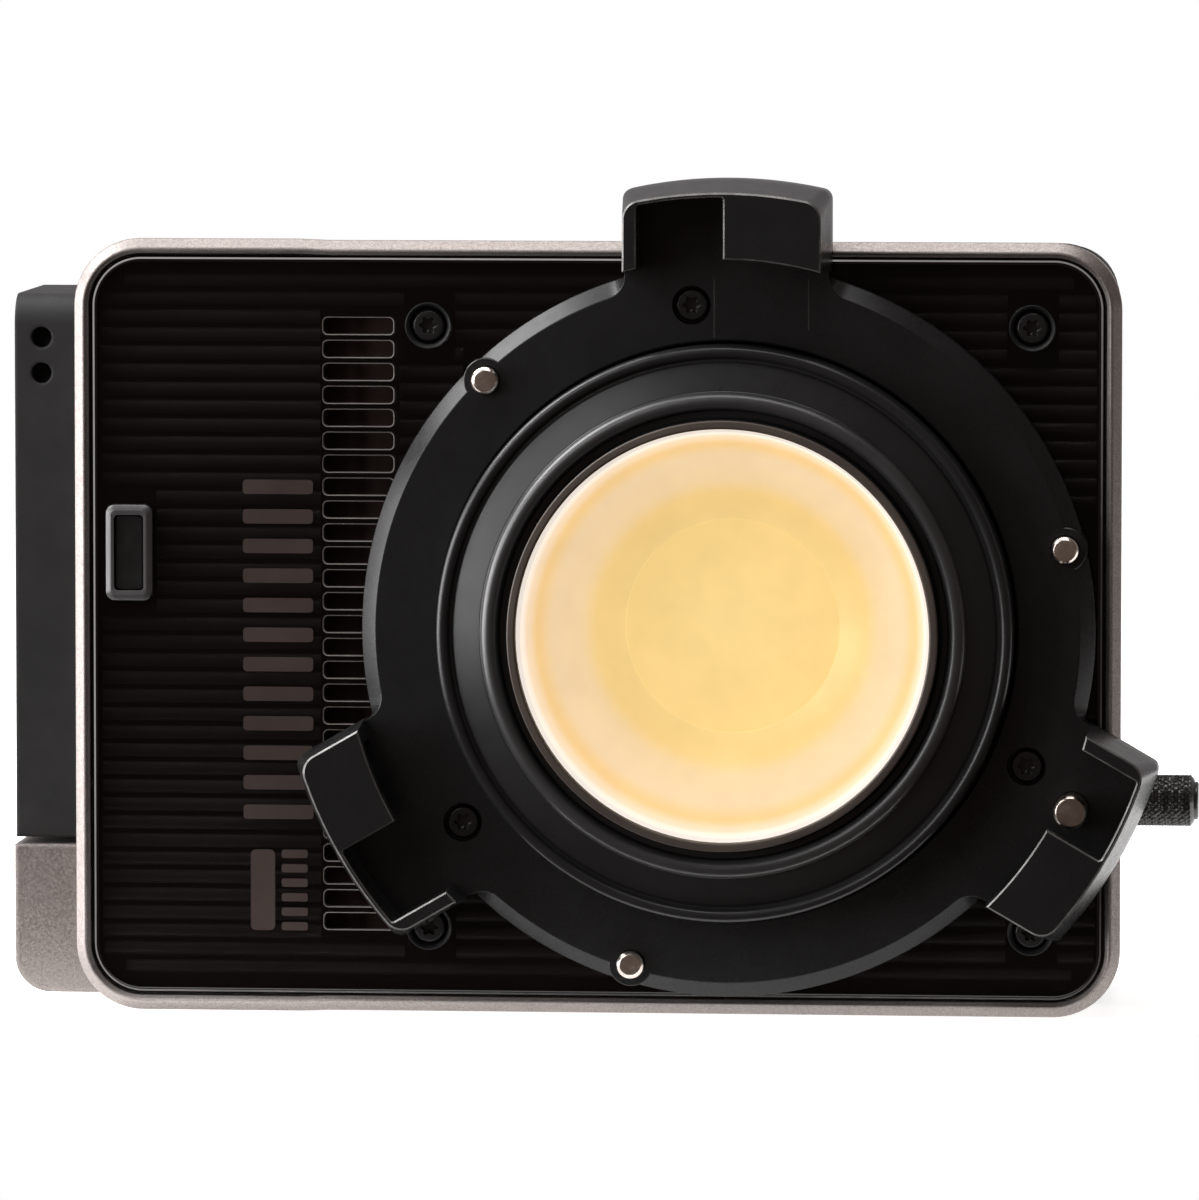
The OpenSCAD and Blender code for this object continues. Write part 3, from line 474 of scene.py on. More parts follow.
def rings_to_mesh(rings, closed_loft=False, caps=True):
    """Verts and faces of a loft through rings of points."""
    verts = [p for ring in rings for p in ring]
    n = len(rings[0])
    faces = []
    last = len(rings) if closed_loft else len(rings) - 1
    for i in range(last):
        j = (i + 1) % len(rings)
        for k in range(n):
            m = (k + 1) % n
            faces.append((i * n + k, i * n + m, j * n + m, j * n + k))
    if caps and not closed_loft:
        faces.append(tuple(range(n)))
        faces.append(tuple((len(rings) - 1) * n + k for k in range(n)))
    return verts, faces


def revolve(profile, steps=128, centre=(0.0, 0.0)):
    """A closed profile of (radius, depth) turned round a line along depth."""
    verts, faces = [], []
    n = len(profile)
    for k in range(steps):
        a = TAU * k / steps
        c, s = math.cos(a), math.sin(a)
        verts += [(centre[0] + r * c, centre[1] + r * s, depth) for r, depth in profile]
    for k in range(steps):
        k2 = (k + 1) % steps
        for i in range(n):
            j = (i + 1) % n
            faces.append((k * n + i, k * n + j, k2 * n + j, k2 * n + i))
    return verts, faces


def arc(cx, cy, r, a0, a1, steps):
    return [(cx + r * math.cos(math.radians(a0 + (a1 - a0) * i / steps)),
             cy + r * math.sin(math.radians(a0 + (a1 - a0) * i / steps)))
            for i in range(steps + 1)]


def rounded_rect(xa, xb, ya, yb, r, steps):
    return (arc(xb - r, yb - r, r, 0, 90, steps) + arc(xa + r, yb - r, r, 90, 180, steps)
            + arc(xa + r, ya + r, r, 180, 270, steps) + arc(xb - r, ya + r, r, 270, 360, steps))


def rect_at(x, y, half_w, half_h, r, steps):
    return rounded_rect(x - half_w, x + half_w, y - half_h, y + half_h, r, steps)


def body_outline(inset, steps):
    return rounded_rect(LEFT + inset, RIGHT - inset, -HALF_H + inset, HALF_H - inset,
                        CORNER - inset, steps)


def circle(cx, cy, r, steps):
    return arc(cx, cy, r, 0, 360 - 360 / steps, steps - 1)


RAMP_X, RAMP_L = -72.5, 6.1


def body_sweep(profile, steps, step=False):
    """A closed profile of (inset, depth) carried round the body's outline."""
    rings = []
    for inset, depth in profile:
        ring = body_outline(inset, steps)
        if step:
            ring = with_step_points(ring)
        rings.append([(x, stepped(x, y) if step else y, depth) for x, y in ring])
    return rings_to_mesh(rings, closed_loft=True)


def with_step_points(ring):
    """Extra points along the two long sides, so that the ramp has something to bend."""
    out = []
    for k, (x, y) in enumerate(ring):
        out.append((x, y))
        nx, _ = ring[(k + 1) % len(ring)]
        if abs(nx - x) > 50:
            marks = [RAMP_X + RAMP_L * i / 8 for i in range(9)]
            out += [(m, y) for m in (marks if nx > x else marks[::-1])]
    return out


def stepped(x, y):
    """The top and bottom sit a little lower to the right of a short ramp."""
    t = min(max((x - RAMP_X) / RAMP_L, 0.0), 1.0)
    drop_by = 0.2 * t * t * (3 - 2 * t) * min(1.0, max(0.0, (abs(y) - 50) / 8))
    return y - math.copysign(drop_by, y)


def plate(name, loops, near, far, bevel, res):
    """A flat plate with rolled edges, as a mesh: an outline and its holes, or several outlines."""
    curve = bpy.data.curves.new(name, "CURVE")
    curve.dimensions = "2D"
    curve.fill_mode = "BOTH"
    for loop in loops:
        sp = curve.splines.new("POLY")
        sp.points.add(len(loop) - 1)
        for p, (x, y) in zip(sp.points, loop):
            p.co = (x * MM, y * MM, 0.0, 1.0)
        sp.use_cyclic_u = True
    curve.extrude = ((far - near) / 2 - bevel) * MM
    curve.bevel_depth = bevel * MM
    curve.bevel_resolution = res
    curve.offset = -bevel * MM
    obj = add_object(name + "_curve", curve)
    mesh = bpy.data.meshes.new_from_object(
        obj.evaluated_get(bpy.context.evaluated_depsgraph_get()))
    bpy.data.objects.remove(obj)
    bpy.data.curves.remove(curve)
    mesh.transform(Matrix.Translation((0, (near + far) / 2 * MM, 0))
                   @ Matrix.Rotation(math.radians(90), 4, "X"))
    return mesh


def boolean(obj, operation, *tools):
    """The mesh of obj after Booleans with the tools; all of the objects are used up."""
    for tool in tools:
        m = obj.modifiers.new("BOOLEAN", "BOOLEAN")
        m.operation, m.solver, m.object = operation, "EXACT", tool
    dg = bpy.context.evaluated_depsgraph_get()
    dg.update()
    mesh = bpy.data.meshes.new_from_object(obj.evaluated_get(dg))
    for used in (obj, *tools):
        bpy.data.objects.remove(used)
    return mesh


def scratch(name, verts, faces):
    """A mesh object that only serves a Boolean."""
    return piece(name, verts, faces, (), body=None)


def prism(loop, near, far):
    rings = [[(x, y, near) for x, y in loop], [(x, y, far) for x, y in loop]]
    return rings_to_mesh(rings)


def merge(mesh, extra):
    """Adds the faces of a second mesh to the first."""
    bm = bmesh.new()
    bm.from_mesh(mesh)
    bm.from_mesh(extra)
    bm.to_mesh(mesh)
    bm.free()


def raw_mesh(name, verts, faces):
    mesh = bpy.data.meshes.new(name)
    mesh.from_pydata([place(*v) for v in verts], [], faces)
    return mesh


def joined(parts):
    """One (verts, faces) from several."""
    verts, faces = [], []
    for v, f in parts:
        base = len(verts)
        verts += v
        faces += [tuple(i + base for i in face) for face in f]
    return verts, faces


# ------------------------------------------------ front frame and panel

FRAME_PROFILE = [
    (lean(SEAM), SEAM), (lean(SEAM) * 0.5, (SEAM + BAND) / 2), (0.02, BAND + 0.5),
    (0.0, BAND + 0.1), (0.02, BAND - 0.08), (0.08, BAND - 0.22), (0.18, BAND - 0.34),
    (1.30, BAND - 1.50), (1.42, BAND - 1.61), (1.56, BAND - 1.70), (1.72, BAND - 1.75),
    (1.86, BAND - 1.73), (1.97, BAND - 1.64), (2.06, BAND - 1.50), (2.42, BAND - 0.9),
    (2.50, BAND - 0.6), (2.50, RIB_BACK), (6.0, RIB_BACK), (6.0, LEDGE_BACK), (4.2, LEDGE_BACK),
    (4.2, SEAM - 2.5), (3.2, SEAM - 2.5), (3.2, SEAM),
]


def build_front_frame():
    body = scratch("front_frame_raw", *body_sweep(FRAME_PROFILE, 16, True))
    slot_cut = scratch("rod_slot", *prism(
        rounded_rect(57, 72, LOCK[1] - 2.6, LOCK[1] + 2.6, 0.3, 2), 14.4, 25.6))
    mesh = boolean(body, "DIFFERENCE", slot_cut)
    finish_mesh("front_frame_shell", mesh, [M["shell"]], "head", ["front_frame"],
                30)


def main_hole(r, notch):
    """The neck's hole with a notch for each sprung pin."""
    points = []
    steps = 240
    for k in range(steps):
        a = 360 * k / steps
        radius = r
        for c in CLAWS:
            off = math.radians((a - 90 - c - PLUNGER_A + 180) % 360 - 180)
            across = PLUNGER_R * math.sin(off)
            if abs(across) < notch and math.cos(off) > 0:
                reach = PLUNGER_R * math.cos(off) + math.sqrt(notch**2 - across**2)
                radius = max(radius, reach)
        points.append((radius * math.cos(math.radians(a)), radius * math.sin(math.radians(a))))
    return points


def slot_loops(grow):
    """The vent slots, those beside the neck cut short to clear it."""
    loops = []
    for k in range(SLOT_N):
        y = SLOT_TOP - k * SLOT_PITCH
        xa, xb = SLOT_X - SLOT_L / 2, SLOT_X + SLOT_L / 2
        if abs(y) < 16:
            xb = min(xb, -math.sqrt(59.0**2 - y * y) - 0.2)
        loops.append(rounded_rect(xa - grow, xb + grow, y - SLOT_H / 2 - grow,
                                  y + SLOT_H / 2 + grow, 0.85, 5))
    return loops


def panel_holes(screw_r, grow=0.0, button=(4.0, 8.1, 1.6)):
    return [main_hole(57.0, 3.95), circle(*LOCK, 3.4, 32), *slot_loops(grow),
            *[circle(*spot, screw_r, 48) for spot in PANEL_SCREW_SPOTS],
            rect_at(*BUTTON, *button, 6)]


def build_panel():
    mesh = plate("smoked_panel", [body_outline(2.8, 20), *panel_holes(3.9)], GLASS_FRONT,
                 GLASS_BACK, 0.12, 1)
    finish_mesh("smoked_panel", mesh, [M["panel"]], "head", ["front_panel"], 40)
    proud, round_r = GLASS_FRONT - 0.012, 0.95
    nose = arc(2.82 + round_r, proud + round_r, round_r, 180, 270, 9)
    rim = [(2.82, GLASS_BACK), *nose, (3.85, proud), (3.85, GLASS_FRONT + 0.004),
           (2.95, GLASS_BACK)]
    verts, faces = body_sweep(rim, 20)
    per_ring = len(faces) // len(rim)
    # faces of rings 6 and 7 carry the painted edge highlight
    painted_highlight_faces = [1 if i // per_ring in (6, 7) else 0 for i in range(len(faces))]
    piece("panel_edge", verts, faces, [M["edge"], M["polish"]], "head", slot="smoked_panel",
          face_mats=painted_highlight_faces)
    rims = []
    for outer, inner in zip(slot_loops(-0.005), slot_loops(-0.13)):
        rims.append(rings_to_mesh([[(x, y, d) for x, y in loop] for loop, d in (
            (outer, GLASS_FRONT + 0.02), (inner, GLASS_FRONT + 0.06), (inner, GLASS_BACK - 0.1),
            (outer, GLASS_BACK - 0.05))], closed_loft=True))
    # slot rims in light grey: a painted highlight on the cut edges
    piece("slot_edges", *joined(rims), [M["slot_edge_highlight"]], "head", slot="smoked_panel")


def rib_gaps(y, half):
    """Stretches of x that a rib at height y has to leave clear."""
    gaps = []
    rows = (y - half, y, y + half)
    reach = max(57.6**2 - t * t for t in rows)
    if reach > 0:
        gaps.append((-math.sqrt(reach), math.sqrt(reach)))
    for px, py in PIN_SPOTS:
        if abs(y - py) < 4.6 + half:
            gaps.append((px - 4.6, px + 4.6))
    top = SLOT_TOP + SLOT_H / 2 + 0.5 + half
    if abs(y) < top:
        gaps.append((SLOT_X - SLOT_L / 2 - 0.6, SLOT_X + SLOT_L / 2 + 0.6))
    for sy in (-1, 1):
        if abs(y - sy * SCREW_SQ) < 4.3 + half:
            gaps += [(sx * SCREW_SQ - 4.3, sx * SCREW_SQ + 4.3) for sx in (-1, 1)]
    if abs(y - BUTTON[1]) < 8.2 + half:
        gaps.append((BUTTON[0] - 4.2, BUTTON[0] + 4.2))
    if abs(y - LOCK[1]) < 3.9 + half:
        gaps.append((LOCK[0] - 3.9, LOCK[0] + 3.9))
    return sorted(gaps)


def build_ribs():
    holes = panel_holes(1.7, 0.05, (2.9, 6.7, 0.9))
    mesh = plate("ribbed_base", [body_outline(2.9, 12), *holes], GLASS_BACK + 1.0, RIB_BACK,
                 0.08, 1)
    half, crown = 1.15, 0.70
    edge_x, edge_y = 4.3, 7.0
    parts = []
    for k in range(RIB_N):
        y = (k - (RIB_N - 1) / 2) * RIB_PITCH
        short = max(0.0, abs(y) - (HALF_H - edge_y - 4.5))
        pull = 4.5 - math.sqrt(max(0.0, 4.5**2 - min(short, 4.5) ** 2))
        if abs(y) + half > HALF_H - edge_y + 1.2:
            continue
        lo, hi = LEFT + edge_x + pull, RIGHT - edge_x - pull
        spans, start = [], lo
        for ga, gb in rib_gaps(y, half):
            if ga > start:
                spans.append((start, min(ga, hi)))
            start = max(start, gb)
        if start < hi:
            spans.append((start, hi))
        for xa, xb in spans:
            if xb - xa < 1.0:
                continue
            section = [(y + half * math.cos(math.pi * i / 8),
                        GLASS_BACK + 1.02 - crown * math.sin(math.pi * i / 8))
                       for i in range(9)]
            rings = [[(x, u, v) for u, v in section] for x in (xa, xb)]
            parts.append(rings_to_mesh(rings))
    verts, faces = joined(parts)
    flat = len(mesh.polygons)
    merge(mesh, raw_mesh("ribs", verts, faces))
    # base faces get the painted gap shade, rib faces the lighter crown copy
    finish_mesh("ribbed_panel_body", mesh, [M["gap"], M["ribbed"]], "head", ["ribbed_panel"],
                50, 0, [0] * flat + [1] * len(faces))


def build_print():
    """Plain marks on the smoked panel: a column of bars, with no letters or figures."""
    bars = [rect_at(-75.7, 23.3 - k * 4.96, 5.9, 1.2, 0.6, 4) for k in range(12)]
    bars.append(rounded_rect(-80.4, -76.3, -51.2, -37.6, 0.9, 5))
    bars += [rounded_rect(-75.2, -70.8, -51.2 + 2.44 * k, -49.8 + 2.44 * k, 0.4, 4)
             for k in range(6)]
    mesh = plate("panel_print", bars, GLASS_FRONT - 0.03, GLASS_FRONT - 0.005, 0.005, 0)
    finish_mesh("panel_print", mesh, [M["print"]], "head")


# ------------------------------------------------ screws and pins

def screw_mesh(top, tip):
    """A button-head screw with a six-lobed socket, from its head's top to its tip."""
    angles = [TAU * k / 48 for k in range(48)]
    socket, flat, dome, under = 1.25, 0.84, 0.42, 1.7

    def ring(r, depth, lobes=0.0):
        radii = [r * (1 + lobes * math.cos(6 * a)) for a in angles]
        return [(u * math.cos(a), u * math.sin(a), depth) for a, u in zip(angles, radii)]

    rings = [ring(socket * share, top + below, 0.19)
             for share, below in ((0.55, 1.30), (0.97, 1.15), (1.0, 0.10), (1.05, 0.02))]
    for i in range(7):
        t = i / 6
        r = HEAD_R * flat + (HEAD_R - 0.12 - HEAD_R * flat) * t
        rings.append(ring(r, top + dome * (1 - math.cos(t * math.pi / 2)) * 0.9))
    rings += [ring(r, depth) for r, depth in (
        (HEAD_R, top + dome + 0.15), (HEAD_R, top + under - 0.08), (HEAD_R - 0.08, top + under),
        (SHANK_R, top + under), (SHANK_R, tip - 0.3), (SHANK_R - 0.3, tip))]
    return rings_to_mesh(rings)


def moved(part, x, y):
    verts, faces = part
    return [(vx + x, vy + y, vd) for vx, vy, vd in verts], faces


def build_screws():
    head = screw_mesh(GLASS_FRONT + 0.4, 17.4)
    panel = [moved(head, *spot) for spot in PANEL_SCREW_SPOTS]
    piece("panel_screw_set", *joined(panel), [M["screw"]], "head", ["panel_screws"],
          "black_steel", 38)
    seat = [(3.86, GLASS_FRONT - 0.02), (3.86, GLASS_BACK + 0.06), (2.95, GLASS_BACK + 0.06),
            (2.95, GLASS_BACK - 0.15), (3.15, GLASS_FRONT + 0.75), (3.55, GLASS_FRONT + 0.1),
            (3.7, GLASS_FRONT - 0.02)]
    seats = [revolve(seat, 64, spot) for spot in PANEL_SCREW_SPOTS]
    piece("panel_screw_seats", *joined(seats), [M["black"]], "head", slot="black_plastic")
    mount = screw_mesh(0.7, 16.9)
    piece("mount_screw_set", *joined([moved(mount, *spot) for spot in PLATE_SCREW_SPOTS]),
          [M["screw"]], "head", ["mount_screws"], "black_steel", 38)


def build_pins():
    for letter, (x, y) in zip("abc", PIN_SPOTS):
        mat = turned_metal(f"plunger_{letter}_nickel", (0.74, 0.66, 0.60), (0.90, 0.82, 0.76),
                           place(x, y, 0))
        profile = [(0.0, -2.1), (1.55, -2.1), (1.70, -2.08), (1.84, -2.0), (2.22, -1.62),
                   (2.29, -1.5), (2.30, -1.35), (2.30, 5.06), (2.80, 5.06), (2.80, 5.84),
                   (0.0, 5.84)]
        piece(f"plunger_{letter}_pin", *revolve(profile, 64, (x, y)), [mat], f"plunger_{letter}",
              [f"plunger_{letter}"], "nickel", 40)
    mat = turned_metal("lock_pin_nickel", (0.50, 0.43, 0.38), (0.66, 0.59, 0.54),
                       place(*LOCK, 0))
    profile = [(0.0, -6.5), (2.2, -6.5), (2.35, -6.47), (2.46, -6.38), (2.78, -5.98),
               (2.84, -5.85), (2.85, -5.7), (2.85, 15.0), (0.0, 15.0)]
    piece("lock_pin_body", *revolve(profile, 72, LOCK), [mat], "lock", ["lock_pin"], "nickel", 40)


def build_knob():
    """The knurled knob: a diamond pattern raised in the mesh itself."""
    steps, rows = 132, 38
    x0, x1, r = 67.5, 76.6, 4.16
    ridges, cross, groove = 26.0, 0.9, 0.36

    angles = [TAU * k / steps for k in range(steps)]

    def hoop(x, radii):
        return [(x, LOCK[1] + u * math.cos(a), KNOB_AXIS_DEPTH + u * math.sin(a))
                for a, u in zip(angles, radii)]

    def ridge(a, x):
        slant = (x - x0) / r * ridges * cross
        return min(abs(math.sin((ridges * a + slant) / 2)),
                   abs(math.sin((ridges * a - slant) / 2)))

    rings = [hoop(x, [u] * steps) for x, u in ((66.9, 3.45), (67.15, 3.75), (67.45, 4.0))]
    for i in range(rows + 1):
        x = x0 + (x1 - x0) * i / rows
        fade = min(1.0, (i + 0.6) / 2, (rows - i + 0.6) / 2)
        rings.append(hoop(x, [r + 0.14 - groove * (1 - ridge(a, x)) ** 2.2 * fade
                              for a in angles]))
    rings += [hoop(x, [u] * steps) for x, u in (
        (76.85, 3.95), (77.15, 3.62), (77.2, 3.5), (77.2, 3.25), (77.3, 3.2), (77.7, 3.15),
        (77.9, 2.9), (77.9, 0.4))]
    piece("lock_knob_knurled", *rings_to_mesh(rings), [M["knurl"]], "lock", ["lock_knob"],
          "black_steel", 24)


# ------------------------------------------------ mount plate and claws

def plate_edge(a):
    """(radius of the flat's edge, outer radius) at an angle from a claw's centre line."""
    a = abs(a)
    side, fillet, claw_reach = 17.0, 4.0, 72.9
    s, c = math.sin(math.radians(a)), math.cos(math.radians(a))
    cx = side + fillet
    cy = math.sqrt((FLAT_R + fillet) ** 2 - cx * cx)
    along = cx * s + cy * c
    off = cx * c - cy * s
    limit = side / s if s > 1e-6 else 1e9
    if a < math.degrees(math.atan2(side, cy)):
        wide = min(claw_reach, limit)
        return wide, wide + 0.12
    if a < math.degrees(math.atan2(cx, cy)) and abs(off) < fillet:
        r = along - math.sqrt(fillet**2 - off**2)
        r = min(r, PLATE_R + 0.3)
        return r, max(PLATE_R, r + 0.1)
    return FLAT_R, PLATE_R


def build_mount():
    rings = []
    steps, fall = 720, 2.4
    inner = BEZEL_R + 0.35
    for k in range(steps):
        a = 360 * k / steps
        flat, outer = plate_edge((a - 90 + 60) % 120 - 60)
        c, s = math.cos(math.radians(a)), math.sin(math.radians(a))
        row = [(inner, LEDGE_BACK), (inner, 0.5), (inner + 0.12, 0.2), (inner + 0.4, 0.0),
               (flat - 0.25, 0.0), (flat - 0.08, 0.03), (flat + 0.05, 0.12),
               (outer - 0.1, fall - 0.12), (outer, fall + 0.1), (outer, 5.0), (outer - 0.2, 5.2),
               (56.6, 5.2), (56.6, LEDGE_BACK)]
        rings.append([(r * c, r * s, d) for r, d in row])
    raw = scratch("plate_raw", *rings_to_mesh(rings, closed_loft=True))
    boss_profile = [(0, 0.02), (3.55, 0.02), (3.7, 0.15), (3.7, 11.45), (0, 11.45)]
    boss = scratch("bosses", *joined([revolve(boss_profile, 64, spot) for spot in PIN_SPOTS]))
    whole = add_object("plate_union", boolean(raw, "UNION", boss))
    pin_bore = [(0, -1), (2.75, -1), (2.36, 0.32), (2.36, 5.02), (2.95, 5.02), (2.95, 12), (0, 12)]
    screw_bore = [(0, -1), (3.45, -1), (3.2, 0.2), (3.2, 2.4), (1.6, 2.4), (1.6, 12), (0, 12)]
    lock_bore = [(0, -1), (3.2, -1), (2.92, 0.2), (2.92, 6), (0, 6)]
    cutters = []
    for pin, screw in zip(PIN_SPOTS, PLATE_SCREW_SPOTS):
        cutters += [revolve(pin_bore, 64, pin), revolve(screw_bore, 64, screw)]
    cutters.append(revolve(lock_bore, 64, LOCK))
    tool = scratch("plate_tools", *joined(cutters))
    mesh = boolean(whole, "DIFFERENCE", tool)
    claw = claw_mesh()
    mesh.polygons.foreach_set("material_index", [0] * len(mesh.polygons))
    for cl in CLAWS:
        copy = claw.copy()
        copy.transform(Matrix.Rotation(-math.radians(cl), 4, "Y"))
        if cl == 240:
            lock_cut = scratch("lock_bore", *moved(revolve(
                [(0, -1), (2.92, -1), (2.92, 7), (0, 7)], 48), *LOCK))
            copy = boolean(add_object("claw_holder", copy), "DIFFERENCE", lock_cut)
        merge(mesh, copy)
    edges = [0] * len(mesh.polygons)
    mesh.polygons.foreach_get("material_index", edges)
    mesh.materials.clear()
    finish_mesh("mount_plate_casting", mesh, [M["cast"], M["worn"]], "head", ["mount_plate"],
                34, 0, edges)
    lines = [prism([(x - 0.05, low), (x + 0.05, low), (x + 0.05, 58.6), (x - 0.05, 58.6)],
                   -0.012, 0.3) for x, low in ((-2.1, 48.9), (13.6, 50.2))]
    piece("mould_lines", *joined(lines), [M["worn"]], "head", slot="cast_black")


def claw_loop(height, inset=0.0):
    """The claw's plan outline at a height in front of the plate."""
    t = min(max(height / CLAW_H, 0.0), 1.0)
    w = 17.3 - 0.9 * t - inset
    t2 = min(max((height - 1.0) / (CLAW_H - 1.0), 0.0), 1.0)
    big = CLAW_R - 1.95 * t2 - inset
    rc = 1.8 + 1.4 * t - inset
    low = HOOK_R + inset
    cx = w - rc
    cy = math.sqrt((big - rc) ** 2 - cx * cx)
    tip = math.degrees(math.atan2(cy, cx))
    loop = [(w, math.sqrt(low**2 - w * w))]
    loop += arc(cx, cy, rc, 0, tip, 8)
    loop += arc(0, 0, big, tip, 180 - tip, 28)[1:-1]
    loop += arc(-cx, cy, rc, 180 - tip, 180, 8)
    loop.append((-w, math.sqrt(low**2 - w * w)))
    edge = math.degrees(math.acos(w / low))
    loop += arc(0, 0, low, 180 - edge, edge, 28)[1:-1]
    return loop


def pocket_loop(xa, xb, grow=0.0):
    """The pocket's plan: two sides and the inner wall, with small round corners."""
    r, big = 0.5 + grow, CLAW_WALL + grow
    xa, xb = xa - grow, xb + grow

    def corner(x, sign):
        cx = x - sign * r
        cy = math.sqrt((big - r) ** 2 - cx * cx)
        a = math.degrees(math.atan2(cy, cx))
        return (arc(cx, cy, r, 0, a, 4) if sign > 0 else arc(cx, cy, r, a, 180, 4)), a

    right, ar = corner(xb, 1)
    left, al = corner(xa, -1)
    return [(xb, 50)] + right + arc(0, 0, big, ar, al, 24)[1:-1] + left + [(xa, 50)]


def claw_mesh():
    """One claw standing on its own, its front edges broken by a narrow chamfer in lighter metal:
    partly wear, partly a painted edge highlight.
    """
    break_by = 0.27
    heights = [-4.2, -2.0, 0.0, 1.0, 3.0, 6.0, 9.0, 11.0, CLAW_H - break_by]
    rings = [[(x, y, -h) for x, y in claw_loop(h)] for h in heights]
    rings.append([(x, y, -CLAW_H) for x, y in claw_loop(CLAW_H, break_by)])
    block = scratch("claw_block", *rings_to_mesh(rings))
    under = scratch("claw_under", *prism(pocket_loop(-14.1, 14.1), 2.0, -9.0))
    steps = [(2.0, 0.0), (break_by - CLAW_H, 0.0), (-CLAW_H - 0.001, break_by),
             (-14.0, break_by)]
    slot_tool = scratch("claw_slot", *rings_to_mesh(
        [[(x, y, d) for x, y in pocket_loop(-14.1, 0.3, g)] for d, g in steps]))
    mesh = boolean(block, "DIFFERENCE", under, slot_tool)
    mesh.materials.clear()
    mesh.materials.append(M["cast"])
    mesh.materials.append(M["worn"])
    for face in mesh.polygons:
        # front-facing chamfer faces take the lighter metal: wear and painted edge highlight
        broken = -CLAW_H < face.center.y / MM < break_by - CLAW_H
        face.material_index = 1 if broken and -0.9 < face.normal.y < -0.3 else 0
    return mesh


# ------------------------------------------------ light engine

def build_bezel():
    r, g = BEZEL_R, LENS_R
    outer = [(r, LEDGE_BACK)] + arc(r - 1.05, -6.05, 1.05, 0, -168, 14)
    outer += [(r - 2.2, -5.78), (r - 2.45, -5.75), (r - 2.65, -5.85), (r - 2.85, -6.02),
              (r - 3.1, -6.13)]
    outer += [(g + 6.3, -7.75), (g + 6.15, -7.72), (g + 6.05, -7.8)]
    swell = len(outer)
    outer += arc(g + 4.55, -7.85, 1.45, -8, -180, 16)
    outer += [(g + 3.0, -6.7), (g + 2.85, -6.45), (g + 1.9, -6.4), (g + 1.7, -6.55),
              (g + 1.55, -7.0), (g + 1.45, -10.1)]
    lip = (arc(g + 1.05, -10.2, 0.4, 0, -90, 5)[:-1]
           + arc(g + 0.4, -10.2, 0.4, -90, -180, 5))
    inner = [(g, -9.9), (g + 1.2, -9.9), (g + 1.2, -3.6), (r - 3.5, -3.6), (r - 2.3, -2.4),
             (r - 2.3, LEDGE_BACK)]
    profile = outer + lip + inner
    verts, faces = revolve(profile, 192)
    n = len(profile)
    # material 1 on the lip carries the painted warm light
    first, last = len(outer) - 1, len(outer) + len(lip)
    # material 2 is the bead's painted sheen
    mats = [1 if first <= i % n < last else 2 if swell <= i % n < swell + 16 else 0
            for i in range(len(faces))]
    piece("lens_bezel_ring", verts, faces, [M["bezel"], M["lip"], M["bead"]], "head",
          ["light_bezel"], "cast_black", 34, mats)


def build_optics():
    g = LENS_R + 1.1
    disc = [(0, -9.8), (g - 0.3, -9.8), (g, -9.6), (g, -8.6), (g - 0.3, -8.4), (0, -8.4)]
    piece("front_lens_glass", *revolve(disc, 160), [M["lens"]], "head", ["lens_glass"],
          "clear_glass", 40)
    knots = [(33.7, -7.6), (32.9, -4.0), (31.3, 0.0), (28.9, 4.0), (25.7, 8.0), (21.6, 11.4),
             (17.9, 13.4)]
    fine = smooth_line(knots, 6)
    shell = [(x + 0.9, y) for x, y in fine[:-2]]
    profile = fine + [(20.5, 13.4)] + shell[::-1] + [(34.3, -6.9), (35.3, -6.9), (35.3, -7.6)]
    # the bowl's emission is painted reflection of the phosphor's light
    piece("reflector_bowl", *revolve(profile, 160), [M["reflector"]], "head",
          ["reflector_cup"], "reflector", 34)
    dome = [(0, 13.38), (12, 13.4), (17.85, 13.5), (17.85, 14.9), (17.5, 15.4), (0, 15.4)]
    piece("phosphor_disc", *revolve(dome, 120), [M["phosphor"]], "head", ["cob_phosphor"],
          "phosphor", 40)


def smooth_line(knots, between):
    """A Catmull-Rom line through the knots."""
    pts = [knots[0]] + list(knots) + [knots[-1]]
    out = []
    for i in range(1, len(pts) - 2):
        p0, p1, p2, p3 = pts[i - 1:i + 3]
        for k in range(between):
            t = k / between
            out.append(tuple(
                0.5 * ((2 * b) + (c - a) * t + (2 * a - 5 * b + 4 * c - d) * t * t
                       + (3 * b - a - 3 * c + d) * t**3)
                for a, b, c, d in zip(p0, p1, p2, p3)))
    out.append(tuple(knots[-1]))
    return out


# ------------------------------------------------ release button

def build_release():
    x, y = BUTTON
    hole = 2.5, 6.33, 0.7
    base = plate("surround_base", [rect_at(x, y, 3.9, 8, 1.5, 8), rect_at(x, y, *hole, 5)],
                 GLASS_FRONT - 1.0, GLASS_BACK + 0.2, 0.15, 2)
    rings = []
    for grow, depth in ((3.9, GLASS_FRONT - 0.95), (3.75, GLASS_FRONT - 1.1),
                        (3.1, GLASS_FRONT - 1.45), (2.9, GLASS_FRONT - 1.5)):
        r = max(0.4, 1.5 - (3.9 - grow) * 0.8)
        rings.append([(a, b, depth) for a, b in rect_at(x, y, grow, grow + 4.1, r, 8)])
    for depth in (GLASS_FRONT - 1.42, GLASS_FRONT + 0.6):
        rings.append([(a, b, depth) for a, b in rect_at(x, y, *hole, 8)])
    verts, faces = rings_to_mesh(rings, caps=False)
    merge(base, raw_mesh("surround_top", verts, faces))
    finish_mesh("button_surround_rim", base, [M["rim"]], "head", ["button_surround"],
                34, 0)
    mesh = plate("release_pad", [rect_at(x, y, 2.37, 6.2, 0.7, 5)], GLASS_FRONT - 0.9, 15.1,
                 0.3, 3)
    collar = plate("release_collar", [rect_at(x, y, 3.9, 7.6, 1.0, 5)], 14.72, 16.2, 0.2, 1)
    merge(mesh, collar)
    finish_mesh("release_pad", mesh, [M["pad"]], "release_button", ["release_button"],
                34, 0)


# ------------------------------------------------ springs

